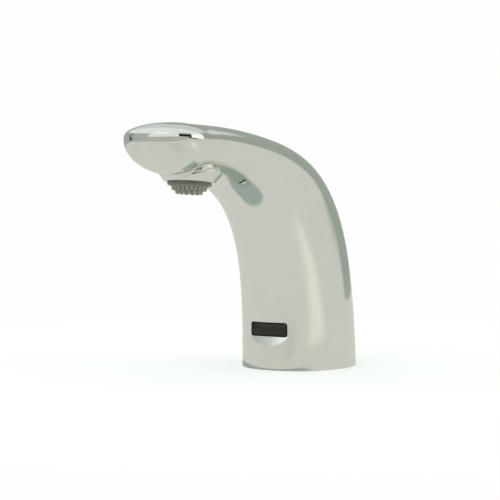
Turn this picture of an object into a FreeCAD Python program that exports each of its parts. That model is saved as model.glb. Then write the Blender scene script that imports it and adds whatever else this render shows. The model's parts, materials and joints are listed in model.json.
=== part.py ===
import FreeCAD
import Part
import math
import os

# A deck-mounted sensor tap. A hollow cast spout stands on an oval foot, leans forward and swells into a
# flat-topped head with a round nose. Water comes in through the foot, passes a non-return valve and a
# solenoid diaphragm valve, rises through a bent tube and leaves at a rubber spray disc under the head.
# An infrared sensor looks out of a dark window low on the front, above a small scooped sill.
#
# Millimetres and degrees. +Z is up and the spout points along -Y. The origin is the centre of the foot,
# on the deck. The plane X = 0 is the plane of symmetry of the casting.

Vector = FreeCAD.Vector

# ---------------------------------------------------------------- shared
CLEARANCE = 0.05         # between turned parts that screw or slide together
OVERCUT = 1.0            # how far a cutting shape runs past what it cuts

# ---------------------------------------------------------------- the casting
BASE_DEPTH = 70.5        # foot, front to back
BASE_WIDTH = 64.5        # foot, side to side
REACH = 109.0            # foot centre to outlet axis
TOP_HEIGHT = 138.5       # deck to the top of the head
HEAD_DEPTH = 31.0        # top of the head down to the rim of the outlet boss
NOSE_LENGTH = 36.5       # outlet axis to the tip of the nose
NOSE_DROP = 7.5          # top of the head down to the tip of the nose
NOSE_PLAN_POWER = 3.5    # bluntness of the nose seen from above; 2 is an ellipse
NOSE_SIDE_POWER = 2.1    # bluntness of the nose seen from the side
HEAD_WIDTH = 51.5        # widest part of the head
HEAD_START = 25.0        # first upright section, behind the outlet axis
HEAD_MIDDLE = 5.0        # second upright section, behind the outlet axis
HEAD_END = 15.0          # last upright section, in front of the outlet axis
HEAD_TAPER = 1.2         # half width lost between the second and the last section
TOP_FALL = 1.1           # top at the first section, below the highest
TOP_FALL_MIDDLE = 0.3    # top at the second section, below the highest
NECK_WIDTH = 52.5        # arm, where the arch turns level
OUTLET_TILT = 4.5        # degrees that the stream leans away from the foot
BELLY_RISE = 3.5         # outlet rim up to the belly of the head
BELLY_FALL = 3.8         # belly at the first section, below the rest
COLUMN_LEVEL_1 = 25.0    # heights of the column's two upper sections
COLUMN_LEVEL_2 = 50.0
BACK_LEAN_1 = 3.25       # how far the back has come forward at those heights
BACK_LEAN_2 = 6.2
FRONT_LEAN_1 = -0.6      # how far the front has come forward at those heights
FRONT_LEAN_2 = 2.1
COLUMN_SWELL_1 = 0.5     # half width beyond the foot's at those heights
COLUMN_SWELL_2 = -0.2
WIDEST_AT = 0.68         # share of the head's height at which it is widest
COLUMN_SQUARENESS = 2.14  # exponent of the column's oval sections
TOP_SQUARENESS = 2.3     # exponent of the upper half of the head's sections
FOOT_WALL = 5.5
COLUMN_WALL = 3.8
NECK_WALL = 2.8
HEAD_WALL = 2.3
OUTLINE_POINTS = 32      # points on each section outline
ROW_SPACING = 7.0        # between the rows of the skin, along the spout
NOSE_ROWS = 8

# ---------------------------------------------------------------- foot plate, gasket and screws
RIM_WALL = 4.0           # casting wall round the foot plate
PLATE_THICKNESS = 8.0
GASKET_THICKNESS = 2.0
GASKET_BAND = 6.0
PLATE_CLEARANCE = 0.25
STUD_HOLE_RADIUS = 2.5   # M6 tapping size
STUD_SPACING = 21.0
STUD_Y = -8.5
GROMMET_Y = -14.0
GROMMET_RADIUS = 3.5
GROMMET_BORE = 2.2
GROMMET_LIP = 0.9
GROMMET_LIP_DEPTH = 1.2
GROMMET_BARB = 1.6       # height of the barb over the plate
GROMMET_BARB_TIP = 0.4   # barb's tip inside the hole
SCREW_WEB = 4.0          # rib from each screw boss to the wall
SCREW_WEB_BITE = 1.0     # rib's end inside the casting's outer face
SCREW_BOSS_RADIUS = 4.5
SCREW_BOSS_LENGTH = 16.0
BASE_SCREW_RADIUS = 2.0
BASE_SCREW_LENGTH = 18.0
BASE_SCREW_HEAD = 3.8
BASE_SCREW_SOCKET = 1.4
BASE_SCREW_SOCKET_DEPTH = 1.6
GASKET_SCREW_ROOM = 0.3  # gasket round the screws' heads
TAP_DEPTH = 1.0          # threaded hole beyond the end of its screw

# ---------------------------------------------------------------- inlet and non-return valve
VALVE_Y = 4.0            # axis of the whole valve stack
INLET_BORE = 7.475       # G3/8 female thread, minor radius
INLET_THREAD_DEPTH = 10.0
INLET_SHANK = 9.8
INLET_FLANGE = 11.8
INLET_FLANGE_THICKNESS = 2.4
INLET_WATERWAY = 5.5
INLET_SHANK_GRIP = 8.0   # length screwed into the valve body
SEAL_WIRE = 0.9          # section radius of the O-rings
INLET_SEAL_RISE = 1.6    # middle of the inlet's seal over the plate
FILTER_THICKNESS = 1.0
FILTER_HOLE = 0.55
FILTER_PITCH = 1.9       # between the rings of holes
CARTRIDGE_RADIUS = 8.3
CARTRIDGE_LENGTH = 10.8
CARTRIDGE_WALL = 1.8
CHECK_SEAT_BORE = 4.0
CHECK_LIFT = 2.5
POPPET_RADIUS = 5.4
POPPET_THICKNESS = 1.6
POPPET_NOSE = 1.4        # cone below the poppet's disc
POPPET_NOSE_ROOM = 0.6   # cone's foot inside the seat's bore
STEM_RADIUS = 1.1
SPIDER_HOLE = 1.3
SPIDER_HOLE_ROOM = 1.6   # holes' circle outside the spring
CHECK_SPRING_TURNS = 4
CHECK_SPRING_RADIUS = 3.2
CHECK_SPRING_WIRE = 0.28

# ---------------------------------------------------------------- diaphragm valve
VALVE_RADIUS = 13.0
CHAMBER_RADIUS = 8.5
STEM_ROOM = 0.1          # left over the poppet's stem when it is fully up
PORT_RADIUS = 3.0
SEAT_RISE = 11.0         # chamber's ceiling up to the seat
SOCKET_RADIUS = 6.0
SOCKET_REACH = 6.0       # socket beyond the valve body
SOCKET_SEAL_DEPTH = 1.6  # middle of the riser's lower seal inside the socket's mouth
CROSS_PASSAGE = 1.8
CROSS_PASSAGE_CIRCLE = 7.2
PORT_CLEAR = 1.5         # port's wall over the chamber's ceiling
SEAT_RADIUS = 5.0
GALLERY_RADIUS = 9.5
GALLERY_DEPTH = 3.5
GALLERY_FLOOR_ANGLES = (20, 90, 160)  # where the cross passages stand
FLANGE_RADIUS = 15.0
FLANGE_THICKNESS = 6.0
DIAPHRAGM_THICKNESS = 1.2
DIAPHRAGM_LIFT = 1.2
DIAPHRAGM_RIM_ROOM = 0.2  # diaphragm inside the edge of its flange
CONVOLUTION_DEPTH = 0.4
CONVOLUTION_MARGIN = 0.8  # convolution inside the gallery and outside the insert
LIFT_ROOM = 0.3          # left over the insert when it is fully up
INSERT_RADIUS = 6.0
INSERT_THICKNESS = 2.0
PILOT_HEIGHT = 0.8
PILOT_BORE = 0.5
PILOT_FOOT = 1.8         # radii of the pilot nozzle's cone
PILOT_TIP = 1.1
BONNET_HEIGHT = 8.8
BONNET_SCREW_CIRCLE = 12.3
BONNET_SCREW_RADIUS = 1.5
BONNET_SCREW_HEAD = 2.4
BONNET_SCREW_LENGTH = 13.0
BONNET_SCREW_HEAD_ROOM = 0.2
BONNET_SCREW_HEAD_HEIGHT = 1.8
BONNET_SCREW_SOCKET = 1.3
BONNET_SCREW_SOCKET_DEPTH = 1.2
BONNET_TAP_DEPTH = 0.6   # threaded hole beyond the end of its screw

# ---------------------------------------------------------------- solenoid
PLUNGER_RADIUS = 3.9
PLUNGER_LENGTH = 15.5
PLUNGER_LIFT = 1.5
PLUNGER_SEAL_RADIUS = 2.0
PLUNGER_SEAL_THICKNESS = 1.2
PLUNGER_SPRING_RADIUS = 1.5
PLUNGER_SPRING_WIRE = 0.22
PLUNGER_SPRING_TURNS = 6
SPRING_POCKET = 6.0
SPRING_POCKET_ROOM = 0.3  # pocket round the spring
GUIDE_CLEARANCE = 0.08
GUIDE_WALL = 0.5
CORE_LENGTH = 8.0
BOBBIN_WALL = 0.9
BOBBIN_FLANGE = 1.2
BOBBIN_RADIUS = 10.5
WINDING_RADIUS = 9.8
WINDING_LENGTH = 14.0
YOKE_THICKNESS = 1.2
YOKE_WIDTH = 14.0
YOKE_SETBACK = 2.0       # front of the yoke behind the front of the bobbin
COIL_NUT_RADIUS = 6.0
COIL_NUT_HEIGHT = 3.0
TERMINAL_SIZE = 5.0
TERMINAL_HEIGHT = 6.0
TERMINAL_MARGIN = 0.5    # bobbin's tab round the terminals
TERMINAL_TAB_ROOT = 7.84  # where the tab leaves the bobbin's flange
LEAD_RADIUS = 1.2
LEAD_BEND = 8.0

# ---------------------------------------------------------------- riser
RISER_RADIUS = 4.0
RISER_BORE = 3.0
RISER_STANDOFF = 1.8     # tube to the inside of the front wall, at the column's upper level
RISER_LOWER_BEND = 12.0
RISER_UPPER_BEND = 42.0
RISER_GRIP = 5.0         # length pushed into each socket
UPPER_SEAL_DEPTH = 2.0   # middle of the riser's upper seal inside the adapter's face

# ---------------------------------------------------------------- outlet, measured up its own axis from the rim
BOSS_RADIUS = 13.8
BOSS_FLARE = 1.6
BOSS_FILLET = 4.0
BOSS_HEIGHT = 11.0       # rim up to where the boss ends inside the head
SEAT_RING_RADIUS = 14.6
SEAT_RING_HEIGHT = 14.0
OUTLET_BORE = 12.0
COLLAR_LIP = 1.9
COLLAR_LENGTH = 8.0
COLLAR_WALL = 1.0
COLLAR_CHAMFER = 0.7
LIP_WALL = 1.95
LIP_FLOOR = 1.5
SPRAY_FLANGE = 2.0
SPRAY_PLATE_DROP = 2.2
SPRAY_STEP_DROP = 3.8
SPRAY_STEP_RADIUS = 7.8
OUTER_NUB_DROP = 4.3
INNER_NUB_DROP = 6.3
NUB_RADIUS = 1.05
NUB_TIP = 0.8
NUB_BORE = 0.4
OUTER_NUBS = 24
OUTER_NUB_CIRCLE = 8.75
STEP_NUBS = 13           # outer ring on the step
STEP_NUB_CIRCLE = 6.55
INNER_NUBS = 7
INNER_NUB_CIRCLE = 3.7
REGULATOR_THICKNESS = 3.2
REGULATOR_JETS = 8
REGULATOR_JET = 0.6
REGULATOR_JET_CIRCLE = 5.5
REGULATOR_GROOVE = 0.8   # width of its groove, and its height over the foot
REGULATOR_GROOVE_DEPTH = 1.2
SCREEN_THICKNESS = 1.0
SCREEN_HOLE = 0.7
SCREEN_PITCH = 2.2       # between the rings of holes
WASHER_THICKNESS = 1.6
WASHER_BORE = 8.0
ADAPTER_HEIGHT = 14.0
ADAPTER_FLOOR = 9.0      # riser socket's middle above the adapter's foot
ADAPTER_WALL = 3.0
ADAPTER_SEAL_RISE = 2.0  # middle of its seal over its foot

# ---------------------------------------------------------------- sensor
WINDOW_WIDTH = 25.0
WINDOW_HEIGHT = 8.2
WINDOW_CORNER = 1.8
WINDOW_Z = 23.6
WINDOW_CLEARANCE = 0.12
WINDOW_FLANGE = 1.9
WINDOW_FLANGE_THICKNESS = 1.5
SENSOR_SEAT_DEPTH = 5.0  # window face to the seat inside the wall
SENSOR_GASKET = 0.6
SENSOR_DEPTH = 9.0
SENSOR_HEIGHT = 16.0
SENSOR_WALL = 1.4
SENSOR_ROOM = 2.9        # cut in the casting behind the housing
SENSOR_SEAT_MARGIN = 1.0  # seat beyond the housing, all round
EAR_GAP = 0.4            # screw's head to the housing's side
EAR_MARGIN = 2.2         # ear beyond its screw's axis
EAR_HEIGHT = 7.0
EAR_THICKNESS = 2.0
EAR_POST_RADIUS = 2.0
BOARD_THICKNESS = 1.2
BOARD_ROOM = 0.1         # board inside the housing
DIODE_RADIUS = 2.3
DIODE_SPACING = 13.0
DIODE_GAP = 0.3          # lens to the window
DIODE_RIM = 0.4          # rim beyond the barrel
DIODE_RIM_THICKNESS = 0.8
BARRIER_THICKNESS = 1.0
SENSOR_SCREW_RADIUS = 1.0
SENSOR_SCREW_HEAD = 1.9
SENSOR_SCREW_BITE = 3.2
SENSOR_SCREW_HEAD_HEIGHT = 1.2
SENSOR_SCREW_SLOT = 0.5
SENSOR_SCREW_SLOT_DEPTH = 0.5
SENSOR_TAP_DEPTH = 0.3   # threaded hole beyond the end of its screw
SCOOP_RADIUS = 34.0
SCOOP_DROP = 5.6         # window's lower edge down to the lowest point of the scoop
SCOOP_DEPTH = 0.4        # scoop below the window's face, at its lower edge

# ---------------------------------------------------------------- values that follow from the above
OUTLET_HEIGHT = TOP_HEIGHT - HEAD_DEPTH
NOSE_HEIGHT = TOP_HEIGHT - NOSE_DROP
PLATE_BOTTOM = GASKET_THICKNESS
PLATE_TOP = PLATE_BOTTOM + PLATE_THICKNESS
HALF_DEPTH = BASE_DEPTH / 2
HALF_WIDTH = BASE_WIDTH / 2
INLET_BOTTOM = PLATE_BOTTOM
SHANK_TOP = PLATE_TOP + INLET_SHANK_GRIP
FILTER_TOP = SHANK_TOP + FILTER_THICKNESS
CARTRIDGE_TOP = FILTER_TOP + CARTRIDGE_LENGTH
CHECK_SEAT_Z = FILTER_TOP + CARTRIDGE_WALL
CHAMBER_TOP = CARTRIDGE_TOP + CHECK_LIFT + STEM_ROOM
SEAT_Z = CHAMBER_TOP + SEAT_RISE
PORT_Z = CHAMBER_TOP + PORT_RADIUS + PORT_CLEAR
SOCKET_MOUTH_Y = VALVE_Y - VALVE_RADIUS - SOCKET_REACH
INSERT_BOTTOM = SEAT_Z + DIAPHRAGM_THICKNESS
PILOT_TOP = INSERT_BOTTOM + INSERT_THICKNESS + PILOT_HEIGHT
GUIDE_BOTTOM = INSERT_BOTTOM + INSERT_THICKNESS + DIAPHRAGM_LIFT + LIFT_ROOM
BONNET_TOP = INSERT_BOTTOM + BONNET_HEIGHT
BONNET_SCREW_SEAT_Z = BONNET_TOP - BONNET_SCREW_HEAD_HEIGHT - BONNET_SCREW_HEAD_ROOM
PLUNGER_TOP = PILOT_TOP + PLUNGER_LENGTH
CORE_BOTTOM = PLUNGER_TOP + PLUNGER_LIFT + CLEARANCE
CORE_TOP = CORE_BOTTOM + CORE_LENGTH
GUIDE_BORE = PLUNGER_RADIUS + GUIDE_CLEARANCE
GUIDE_RADIUS = GUIDE_BORE + GUIDE_WALL
BOBBIN_BOTTOM = BONNET_TOP + YOKE_THICKNESS
BOBBIN_TOP = BOBBIN_BOTTOM + WINDING_LENGTH + 2 * BOBBIN_FLANGE
RISER_Y = -(HALF_DEPTH + FRONT_LEAN_2 - COLUMN_WALL - RISER_STANDOFF - RISER_RADIUS)
COLLAR_RADIUS = OUTLET_BORE - 2 * CLEARANCE
COLLAR_BORE = COLLAR_RADIUS - COLLAR_WALL
LIP_BORE = COLLAR_RADIUS - LIP_WALL
LIP_TOP = LIP_FLOOR - COLLAR_LIP
ADAPTER_BOTTOM = COLLAR_LENGTH + WASHER_THICKNESS
ADAPTER_SEAL_T = ADAPTER_BOTTOM + ADAPTER_SEAL_RISE
RISER_PORT_T = ADAPTER_BOTTOM + ADAPTER_FLOOR
WINDOW_BOTTOM = WINDOW_Z - WINDOW_HEIGHT / 2


# ---------------------------------------------------------------- plain shapes
def cylinder(radius, low, high, x=0.0, y=0.0):
    """An upright cylinder between two heights."""
    return Part.makeCylinder(radius, high - low, Vector(x, y, low))


def ring(outer, bore, low, high, x=0.0, y=0.0):
    """An upright ring between two heights."""
    return cylinder(outer, low, high, x, y).cut(cylinder(bore, low, high, x, y))


def block(x_range, y_range, z_range):
    """A box between two corners, given as ranges."""
    size = [high - low for low, high in (x_range, y_range, z_range)]
    return Part.makeBox(*size, Vector(x_range[0], y_range[0], z_range[0]))


def cone(low_radius, high_radius, low, high, x=0.0, y=0.0):
    """An upright cone frustum between two heights."""
    return Part.makeCone(low_radius, high_radius, high - low, Vector(x, y, low))


def o_ring(middle_radius, wire_radius, z, x=0.0, y=0.0):
    """A ring of round section, lying level."""
    return Part.makeTorus(middle_radius, wire_radius, Vector(x, y, z))


def hexagon(radius, low, high, x=0.0, y=0.0):
    """An upright hexagonal prism; radius is to its corners."""
    corners = [Vector(x + radius * math.cos(math.radians(a)), y + radius * math.sin(math.radians(a)), low)
               for a in range(0, 361, 60)]
    return Part.Face(Part.makePolygon(corners)).extrude(Vector(0, 0, high - low))


def rounded_plate(width, height, corner, y_front, y_back, z_middle):
    """A plate with rounded corners, standing square to Y."""
    body = block((-width / 2, width / 2), (y_front, y_back), (z_middle - height / 2, z_middle + height / 2))
    upright = [e for e in body.Edges if abs(e.tangentAt(e.FirstParameter).y) > 0.99]
    return body.makeFillet(corner, upright)


def spring(radius, wire, low, high, turns, x=0.0, y=0.0):
    """A coil spring of round wire whose ends stay inside the two heights."""
    rise = high - low - 2 * wire
    helix = Part.makeHelix(rise / turns, rise, radius)
    section = Part.Wire(Part.makeCircle(wire, Vector(radius, 0, 0), Vector(0, 1, 0)))
    coil = Part.Wire(helix).makePipeShell([section], True, True)
    coil.translate(Vector(x, y, low + wire))
    return coil


def at_outlet(shape):
    """Moves a shape from the outlet's own axis, with its rim at height 0, to its place under the head."""
    moved = shape.copy()
    moved.rotate(Vector(0, 0, 0), Vector(1, 0, 0), -OUTLET_TILT)
    moved.translate(Vector(0, -REACH, OUTLET_HEIGHT))
    return moved


def round_the_axis(count, radius, first=0.0):
    """Points evenly spaced on a circle, as pairs."""
    angles = [math.radians(first + 360.0 * k / count) for k in range(count)]
    return [(radius * math.cos(a), radius * math.sin(a)) for a in angles]


# ---------------------------------------------------------------- the casting's sections
class Section:
    """One section of the spout, in the plane that holds X and the line from its under side to its back."""

    def __init__(self, back, under, half_width, wide_at, squareness, wall):
        self.back = back
        self.under = under
        self.half_width = half_width
        self.wide_at = wide_at
        self.squareness = squareness
        self.wall = wall

    def middle(self):
        """The point half way from the under side to the back."""
        return (self.back + self.under) / 2

    def points(self, inset):
        """Points round the outline, drawn in by inset times the wall."""
        draw_in = inset * self.wall
        across = self.back - self.under
        height = across.Length
        up = across / height
        widest = self.under + up * (height * self.wide_at)
        half_width = self.half_width - draw_in
        above = height * (1 - self.wide_at) - draw_in
        below = height * self.wide_at - draw_in
        points = []
        for k in range(OUTLINE_POINTS):
            angle = 2 * math.pi * (k + 0.5) / OUTLINE_POINTS
            c, s = math.cos(angle), math.sin(angle)
            power = 2 / (self.squareness if s > 0 else COLUMN_SQUARENESS)
            x = half_width * math.copysign(abs(c) ** power, c)
            rise = (above if s > 0 else below) * math.copysign(abs(s) ** power, s)
            points.append(Vector(x, 0, 0) + widest + up * rise)
        return points

    def curve(self, inset):
        """The closed outline as one smooth curve."""
        curve = Part.BSplineCurve()
        marks = [float(k) for k in range(OUTLINE_POINTS + 1)]
        curve.interpolate(Points=self.points(inset), PeriodicFlag=True, Parameters=marks)
        return curve

    def outline(self, inset):
        """The closed outline as a wire."""
        return Part.Wire(self.curve(inset).toShape())


def in_profile(y, z):
    """A point in the plane of symmetry."""
    return Vector(0, y, z)


def column_sections():
    """Level sections of the column, from the deck up to where it starts to lean into the arch."""
    return [
        Section(in_profile(HALF_DEPTH, 0), in_profile(-HALF_DEPTH, 0), HALF_WIDTH, 0.5,
                COLUMN_SQUARENESS, FOOT_WALL),
        Section(in_profile(HALF_DEPTH - BACK_LEAN_1, COLUMN_LEVEL_1),
                in_profile(-HALF_DEPTH - FRONT_LEAN_1, COLUMN_LEVEL_1),
                HALF_WIDTH + COLUMN_SWELL_1, 0.5, COLUMN_SQUARENESS, (FOOT_WALL + COLUMN_WALL) / 2),
        Section(in_profile(HALF_DEPTH - BACK_LEAN_2, COLUMN_LEVEL_2),
                in_profile(-HALF_DEPTH - FRONT_LEAN_2, COLUMN_LEVEL_2),
                HALF_WIDTH + COLUMN_SWELL_2, 0.5, COLUMN_SQUARENESS, COLUMN_WALL),
    ]


def arch_sections():
    """Sections that fan round the arch. Places are shares of the reach and of the two heights."""
    back = ((0.161, 0.661), (-0.005, 0.845), (-0.261, 0.936), (-0.505, 0.971))
    under = ((-0.415, 0.656), (-0.487, 0.747), (-0.558, 0.836), (-0.643, 0.921))
    share_of_neck = (0.35, 0.97, 1.0, 1.0)
    share_of_widest = (0.15, 0.45, 0.75, 0.95)
    made = []
    for (by, bz), (uy, uz), narrowing, widest in zip(back, under, share_of_neck, share_of_widest):
        half_width = HALF_WIDTH + (NECK_WIDTH / 2 - HALF_WIDTH) * narrowing
        squareness = COLUMN_SQUARENESS + (TOP_SQUARENESS - COLUMN_SQUARENESS) * widest
        wide_at = 0.5 + (WIDEST_AT - 0.5) * widest
        made.append(Section(in_profile(by * REACH, bz * TOP_HEIGHT),
                            in_profile(uy * REACH, uz * OUTLET_HEIGHT),
                            half_width, wide_at, squareness, NECK_WALL))
    return made


def head_sections():
    """Upright sections of the head, up to where the nose starts to close."""
    belly = OUTLET_HEIGHT + BELLY_RISE
    half_width = HEAD_WIDTH / 2
    return [
        Section(in_profile(-REACH + HEAD_START, TOP_HEIGHT - TOP_FALL),
                in_profile(-REACH + HEAD_START, belly - BELLY_FALL),
                NECK_WIDTH / 2, WIDEST_AT, TOP_SQUARENESS, NECK_WALL),
        Section(in_profile(-REACH + HEAD_MIDDLE, TOP_HEIGHT - TOP_FALL_MIDDLE),
                in_profile(-REACH + HEAD_MIDDLE, belly),
                half_width, WIDEST_AT, TOP_SQUARENESS, HEAD_WALL),
        Section(in_profile(-REACH - HEAD_END, TOP_HEIGHT), in_profile(-REACH - HEAD_END, belly),
                half_width - HEAD_TAPER, WIDEST_AT, TOP_SQUARENESS, HEAD_WALL),
    ]


def smooth_line(marks, points):
    """A smooth curve that passes each point at its mark."""
    curve = Part.BSplineCurve()
    curve.interpolate(Points=points, Parameters=marks)
    return curve


class SpoutForm:
    """The casting's form from the deck to the nose, on smooth lines through the sections above."""

    def __init__(self):
        given = column_sections() + arch_sections() + head_sections()
        self.marks = [0.0]
        for last, here in zip(given, given[1:]):
            self.marks.append(self.marks[-1] + (here.middle() - last.middle()).Length)
        self.back_line = smooth_line(self.marks, [s.back for s in given])
        self.under_line = smooth_line(self.marks, [s.under for s in given])
        pairs = list(zip(self.marks, given))
        self.width_line = smooth_line(self.marks, [Vector(mark, s.half_width, s.wide_at) for mark, s in pairs])
        self.wall_line = smooth_line(self.marks, [Vector(mark, s.squareness, s.wall) for mark, s in pairs])

    def section(self, mark):
        """The section at a distance along the spout."""
        width = self.width_line.value(mark)
        wall = self.wall_line.value(mark)
        return Section(self.back_line.value(mark), self.under_line.value(mark), width.y, width.z,
                       wall.y, wall.z)

    def front_y(self, x, z):
        """Y of the front skin of the column, at a place across and a height."""
        low, high = self.marks[0], self.marks[2]
        for _ in range(40):
            mark = (low + high) / 2
            low, high = (mark, high) if self.under_line.value(mark).z < z else (low, mark)
        here = self.section(low)
        middle = here.middle().y
        fall = (1 - (abs(x) / here.half_width) ** COLUMN_SQUARENESS) ** (1 / COLUMN_SQUARENESS)
        return middle - (middle - here.under.y) * fall

    def nose(self, inset):
        """Marks and upright sections that close the head, and the tip where they end."""
        last = self.section(self.marks[-1])
        draw_in = inset * last.wall
        length = REACH + NOSE_LENGTH + last.back.y - draw_in
        height = last.back.z - last.under.z
        widest = last.under.z + height * last.wide_at
        above = height * (1 - last.wide_at) - draw_in
        below = height * last.wide_at - draw_in
        made = []
        for k in range(1, NOSE_ROWS):
            turn = math.pi / 2 * k / NOSE_ROWS
            share = math.sin(turn)
            plan = math.sqrt(1 - share ** NOSE_PLAN_POWER)
            side = math.sqrt(1 - share ** NOSE_SIDE_POWER)
            y = last.back.y - length * share
            level = widest + (NOSE_HEIGHT - widest) * share
            section = Section(in_profile(y, level + above * side), in_profile(y, level - below * side),
                              (last.half_width - draw_in) * plan, below / (above + below), last.squareness, 0.0)
            made.append((self.marks[-1] + length * turn, section))
        end = (self.marks[-1] + length * math.pi / 2, in_profile(last.back.y - length, NOSE_HEIGHT))
        return made, end

    def solid(self, inset):
        """The outer form at inset 0, or the cavity at inset 1."""
        count = round(self.marks[-1] / ROW_SPACING)
        marks = [self.marks[-1] * k / count for k in range(count + 1)]
        curves = [self.section(mark).curve(inset) for mark in marks]
        nose, (end_mark, tip) = self.nose(inset)
        marks += [mark for mark, section in nose]
        curves += [section.curve(0) for mark, section in nose]
        rows = [curve.getPoles() for curve in curves]
        columns = [smooth_line(marks + [end_mark], [row[k] for row in rows] + [tip])
                   for k in range(len(rows[0]))]
        surface = Part.BSplineSurface()
        surface.buildFromPolesMultsKnots([c.getPoles() for c in columns],
                                         curves[0].getMultiplicities(), columns[0].getMultiplicities(),
                                         curves[0].getKnots(), columns[0].getKnots(), True, False, 3, 3)
        skin = surface.toShape()
        foot = [e for e in skin.Edges if not e.Degenerated and e.BoundBox.ZMax < ROW_SPACING / 2]
        shell = Part.makeShell([skin, Part.Face(Part.Wire(foot))])
        shell.sewShape()
        return Part.makeSolid(shell)


SPOUT = SpoutForm()


def foot_outline(draw_in, low, high):
    """An oval prism that follows the foot, drawn in all round."""
    foot = Section(in_profile(HALF_DEPTH, low), in_profile(-HALF_DEPTH, low), HALF_WIDTH, 0.5,
                   COLUMN_SQUARENESS, draw_in)
    return Part.Face(foot.outline(1)).extrude(Vector(0, 0, high - low))


WINDOW_FACE_Y = SPOUT.front_y(WINDOW_WIDTH / 2, WINDOW_Z)
SEAT_Y = WINDOW_FACE_Y + SENSOR_SEAT_DEPTH
WINDOW_BACK_Y = SEAT_Y + SENSOR_GASKET + WINDOW_FLANGE_THICKNESS
SENSOR_BACK_Y = WINDOW_BACK_Y + SENSOR_DEPTH
SENSOR_HALF_WIDTH = WINDOW_WIDTH / 2 + WINDOW_FLANGE
EAR_X = SENSOR_HALF_WIDTH + SENSOR_SCREW_HEAD + EAR_GAP
BOSS_X = HALF_WIDTH - RIM_WALL - SCREW_BOSS_RADIUS


def scoop_tool():
    """A ball that cuts the scooped sill below the window."""
    top_y = WINDOW_FACE_Y + SCOOP_DEPTH
    low_z = WINDOW_BOTTOM - SCOOP_DROP
    low_y = SPOUT.front_y(0, low_z)
    chord = Vector(0, low_y - top_y, low_z - WINDOW_BOTTOM)
    middle = Vector(0, (low_y + top_y) / 2, (low_z + WINDOW_BOTTOM) / 2)
    outward = Vector(0, chord.z, -chord.y).normalize()
    reach = math.sqrt(SCOOP_RADIUS ** 2 - (chord.Length / 2) ** 2)
    ball = Part.makeSphere(SCOOP_RADIUS, middle + outward * reach)
    return ball.common(block((-WINDOW_WIDTH, WINDOW_WIDTH), (-2 * BASE_DEPTH, 0), (0, WINDOW_BOTTOM)))


def spout_body():
    """The chromed casting: shell, outlet boss, screw bosses, sensor seat and every hole in it."""
    outer = SPOUT.solid(0)
    boss = at_outlet(cone(BOSS_RADIUS, BOSS_RADIUS + BOSS_FLARE, 0, BOSS_HEIGHT))
    skin = outer.fuse(boss)
    foot_of_boss = [e for e in skin.Edges if on_boss_join(e)]
    if foot_of_boss:
        skin = skin.makeFillet(BOSS_FILLET, foot_of_boss)
    shell = skin.cut(SPOUT.solid(1))
    seat_reach = EAR_X + EAR_MARGIN + SENSOR_SEAT_MARGIN
    seat_z = (WINDOW_Z - SENSOR_HEIGHT / 2 - SENSOR_SEAT_MARGIN,
              WINDOW_Z + SENSOR_HEIGHT / 2 + SENSOR_SEAT_MARGIN)
    pad = block((-seat_reach, seat_reach), (-BASE_DEPTH, SEAT_Y), seat_z)
    added = [at_outlet(cylinder(SEAT_RING_RADIUS, 0, SEAT_RING_HEIGHT)), pad.common(outer)]
    for side in (-1, 1):
        post = cylinder(SCREW_BOSS_RADIUS, PLATE_TOP, PLATE_TOP + SCREW_BOSS_LENGTH, side * BOSS_X)
        web = block(sorted((side * BOSS_X, side * (HALF_WIDTH - SCREW_WEB_BITE))),
                    (-SCREW_WEB / 2, SCREW_WEB / 2), (PLATE_TOP, PLATE_TOP + SCREW_BOSS_LENGTH))
        added.append(post.fuse(web).common(outer))
    body = shell.multiFuse(added)
    cuts = [
        foot_outline(RIM_WALL, -OVERCUT, PLATE_TOP),
        at_outlet(cylinder(OUTLET_BORE, -OVERCUT, SEAT_RING_HEIGHT + OVERCUT)),
        block((-seat_reach, seat_reach), (SEAT_Y, SENSOR_BACK_Y + SENSOR_ROOM), seat_z),
        rounded_plate(WINDOW_WIDTH + 2 * WINDOW_CLEARANCE, WINDOW_HEIGHT + 2 * WINDOW_CLEARANCE,
                      WINDOW_CORNER, -BASE_DEPTH, SEAT_Y + OVERCUT, WINDOW_Z),
        scoop_tool(),
    ]
    body = body.cut(cuts)
    posts = [along_y(EAR_POST_RADIUS, SEAT_Y, WINDOW_BACK_Y, side * EAR_X) for side in (-1, 1)]
    holes = [along_y(SENSOR_SCREW_RADIUS + CLEARANCE, WINDOW_BACK_Y - SENSOR_SCREW_BITE - SENSOR_TAP_DEPTH,
                     WINDOW_BACK_Y + OVERCUT, side * EAR_X) for side in (-1, 1)]
    holes += [cylinder(BASE_SCREW_RADIUS + CLEARANCE, PLATE_TOP - OVERCUT,
                       PLATE_BOTTOM + BASE_SCREW_LENGTH + TAP_DEPTH, side * BOSS_X) for side in (-1, 1)]
    return body.fuse(posts).cut(holes)


def on_boss_join(edge):
    """True for the edge where the outlet boss meets the belly of the head."""
    if edge.Degenerated or edge.Curve.TypeId == "Part::GeomLine":
        return False
    axis = at_outlet(Part.Vertex(0, 0, 1)).Point - in_profile(-REACH, OUTLET_HEIGHT)
    for point in edge.discretize(12):
        out = point - in_profile(-REACH, OUTLET_HEIGHT)
        up = out.dot(axis)
        radius = (out - axis * up).Length
        if up < BELLY_RISE / 4 or abs(radius - BOSS_RADIUS) > BOSS_FLARE:
            return False
    return True


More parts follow.
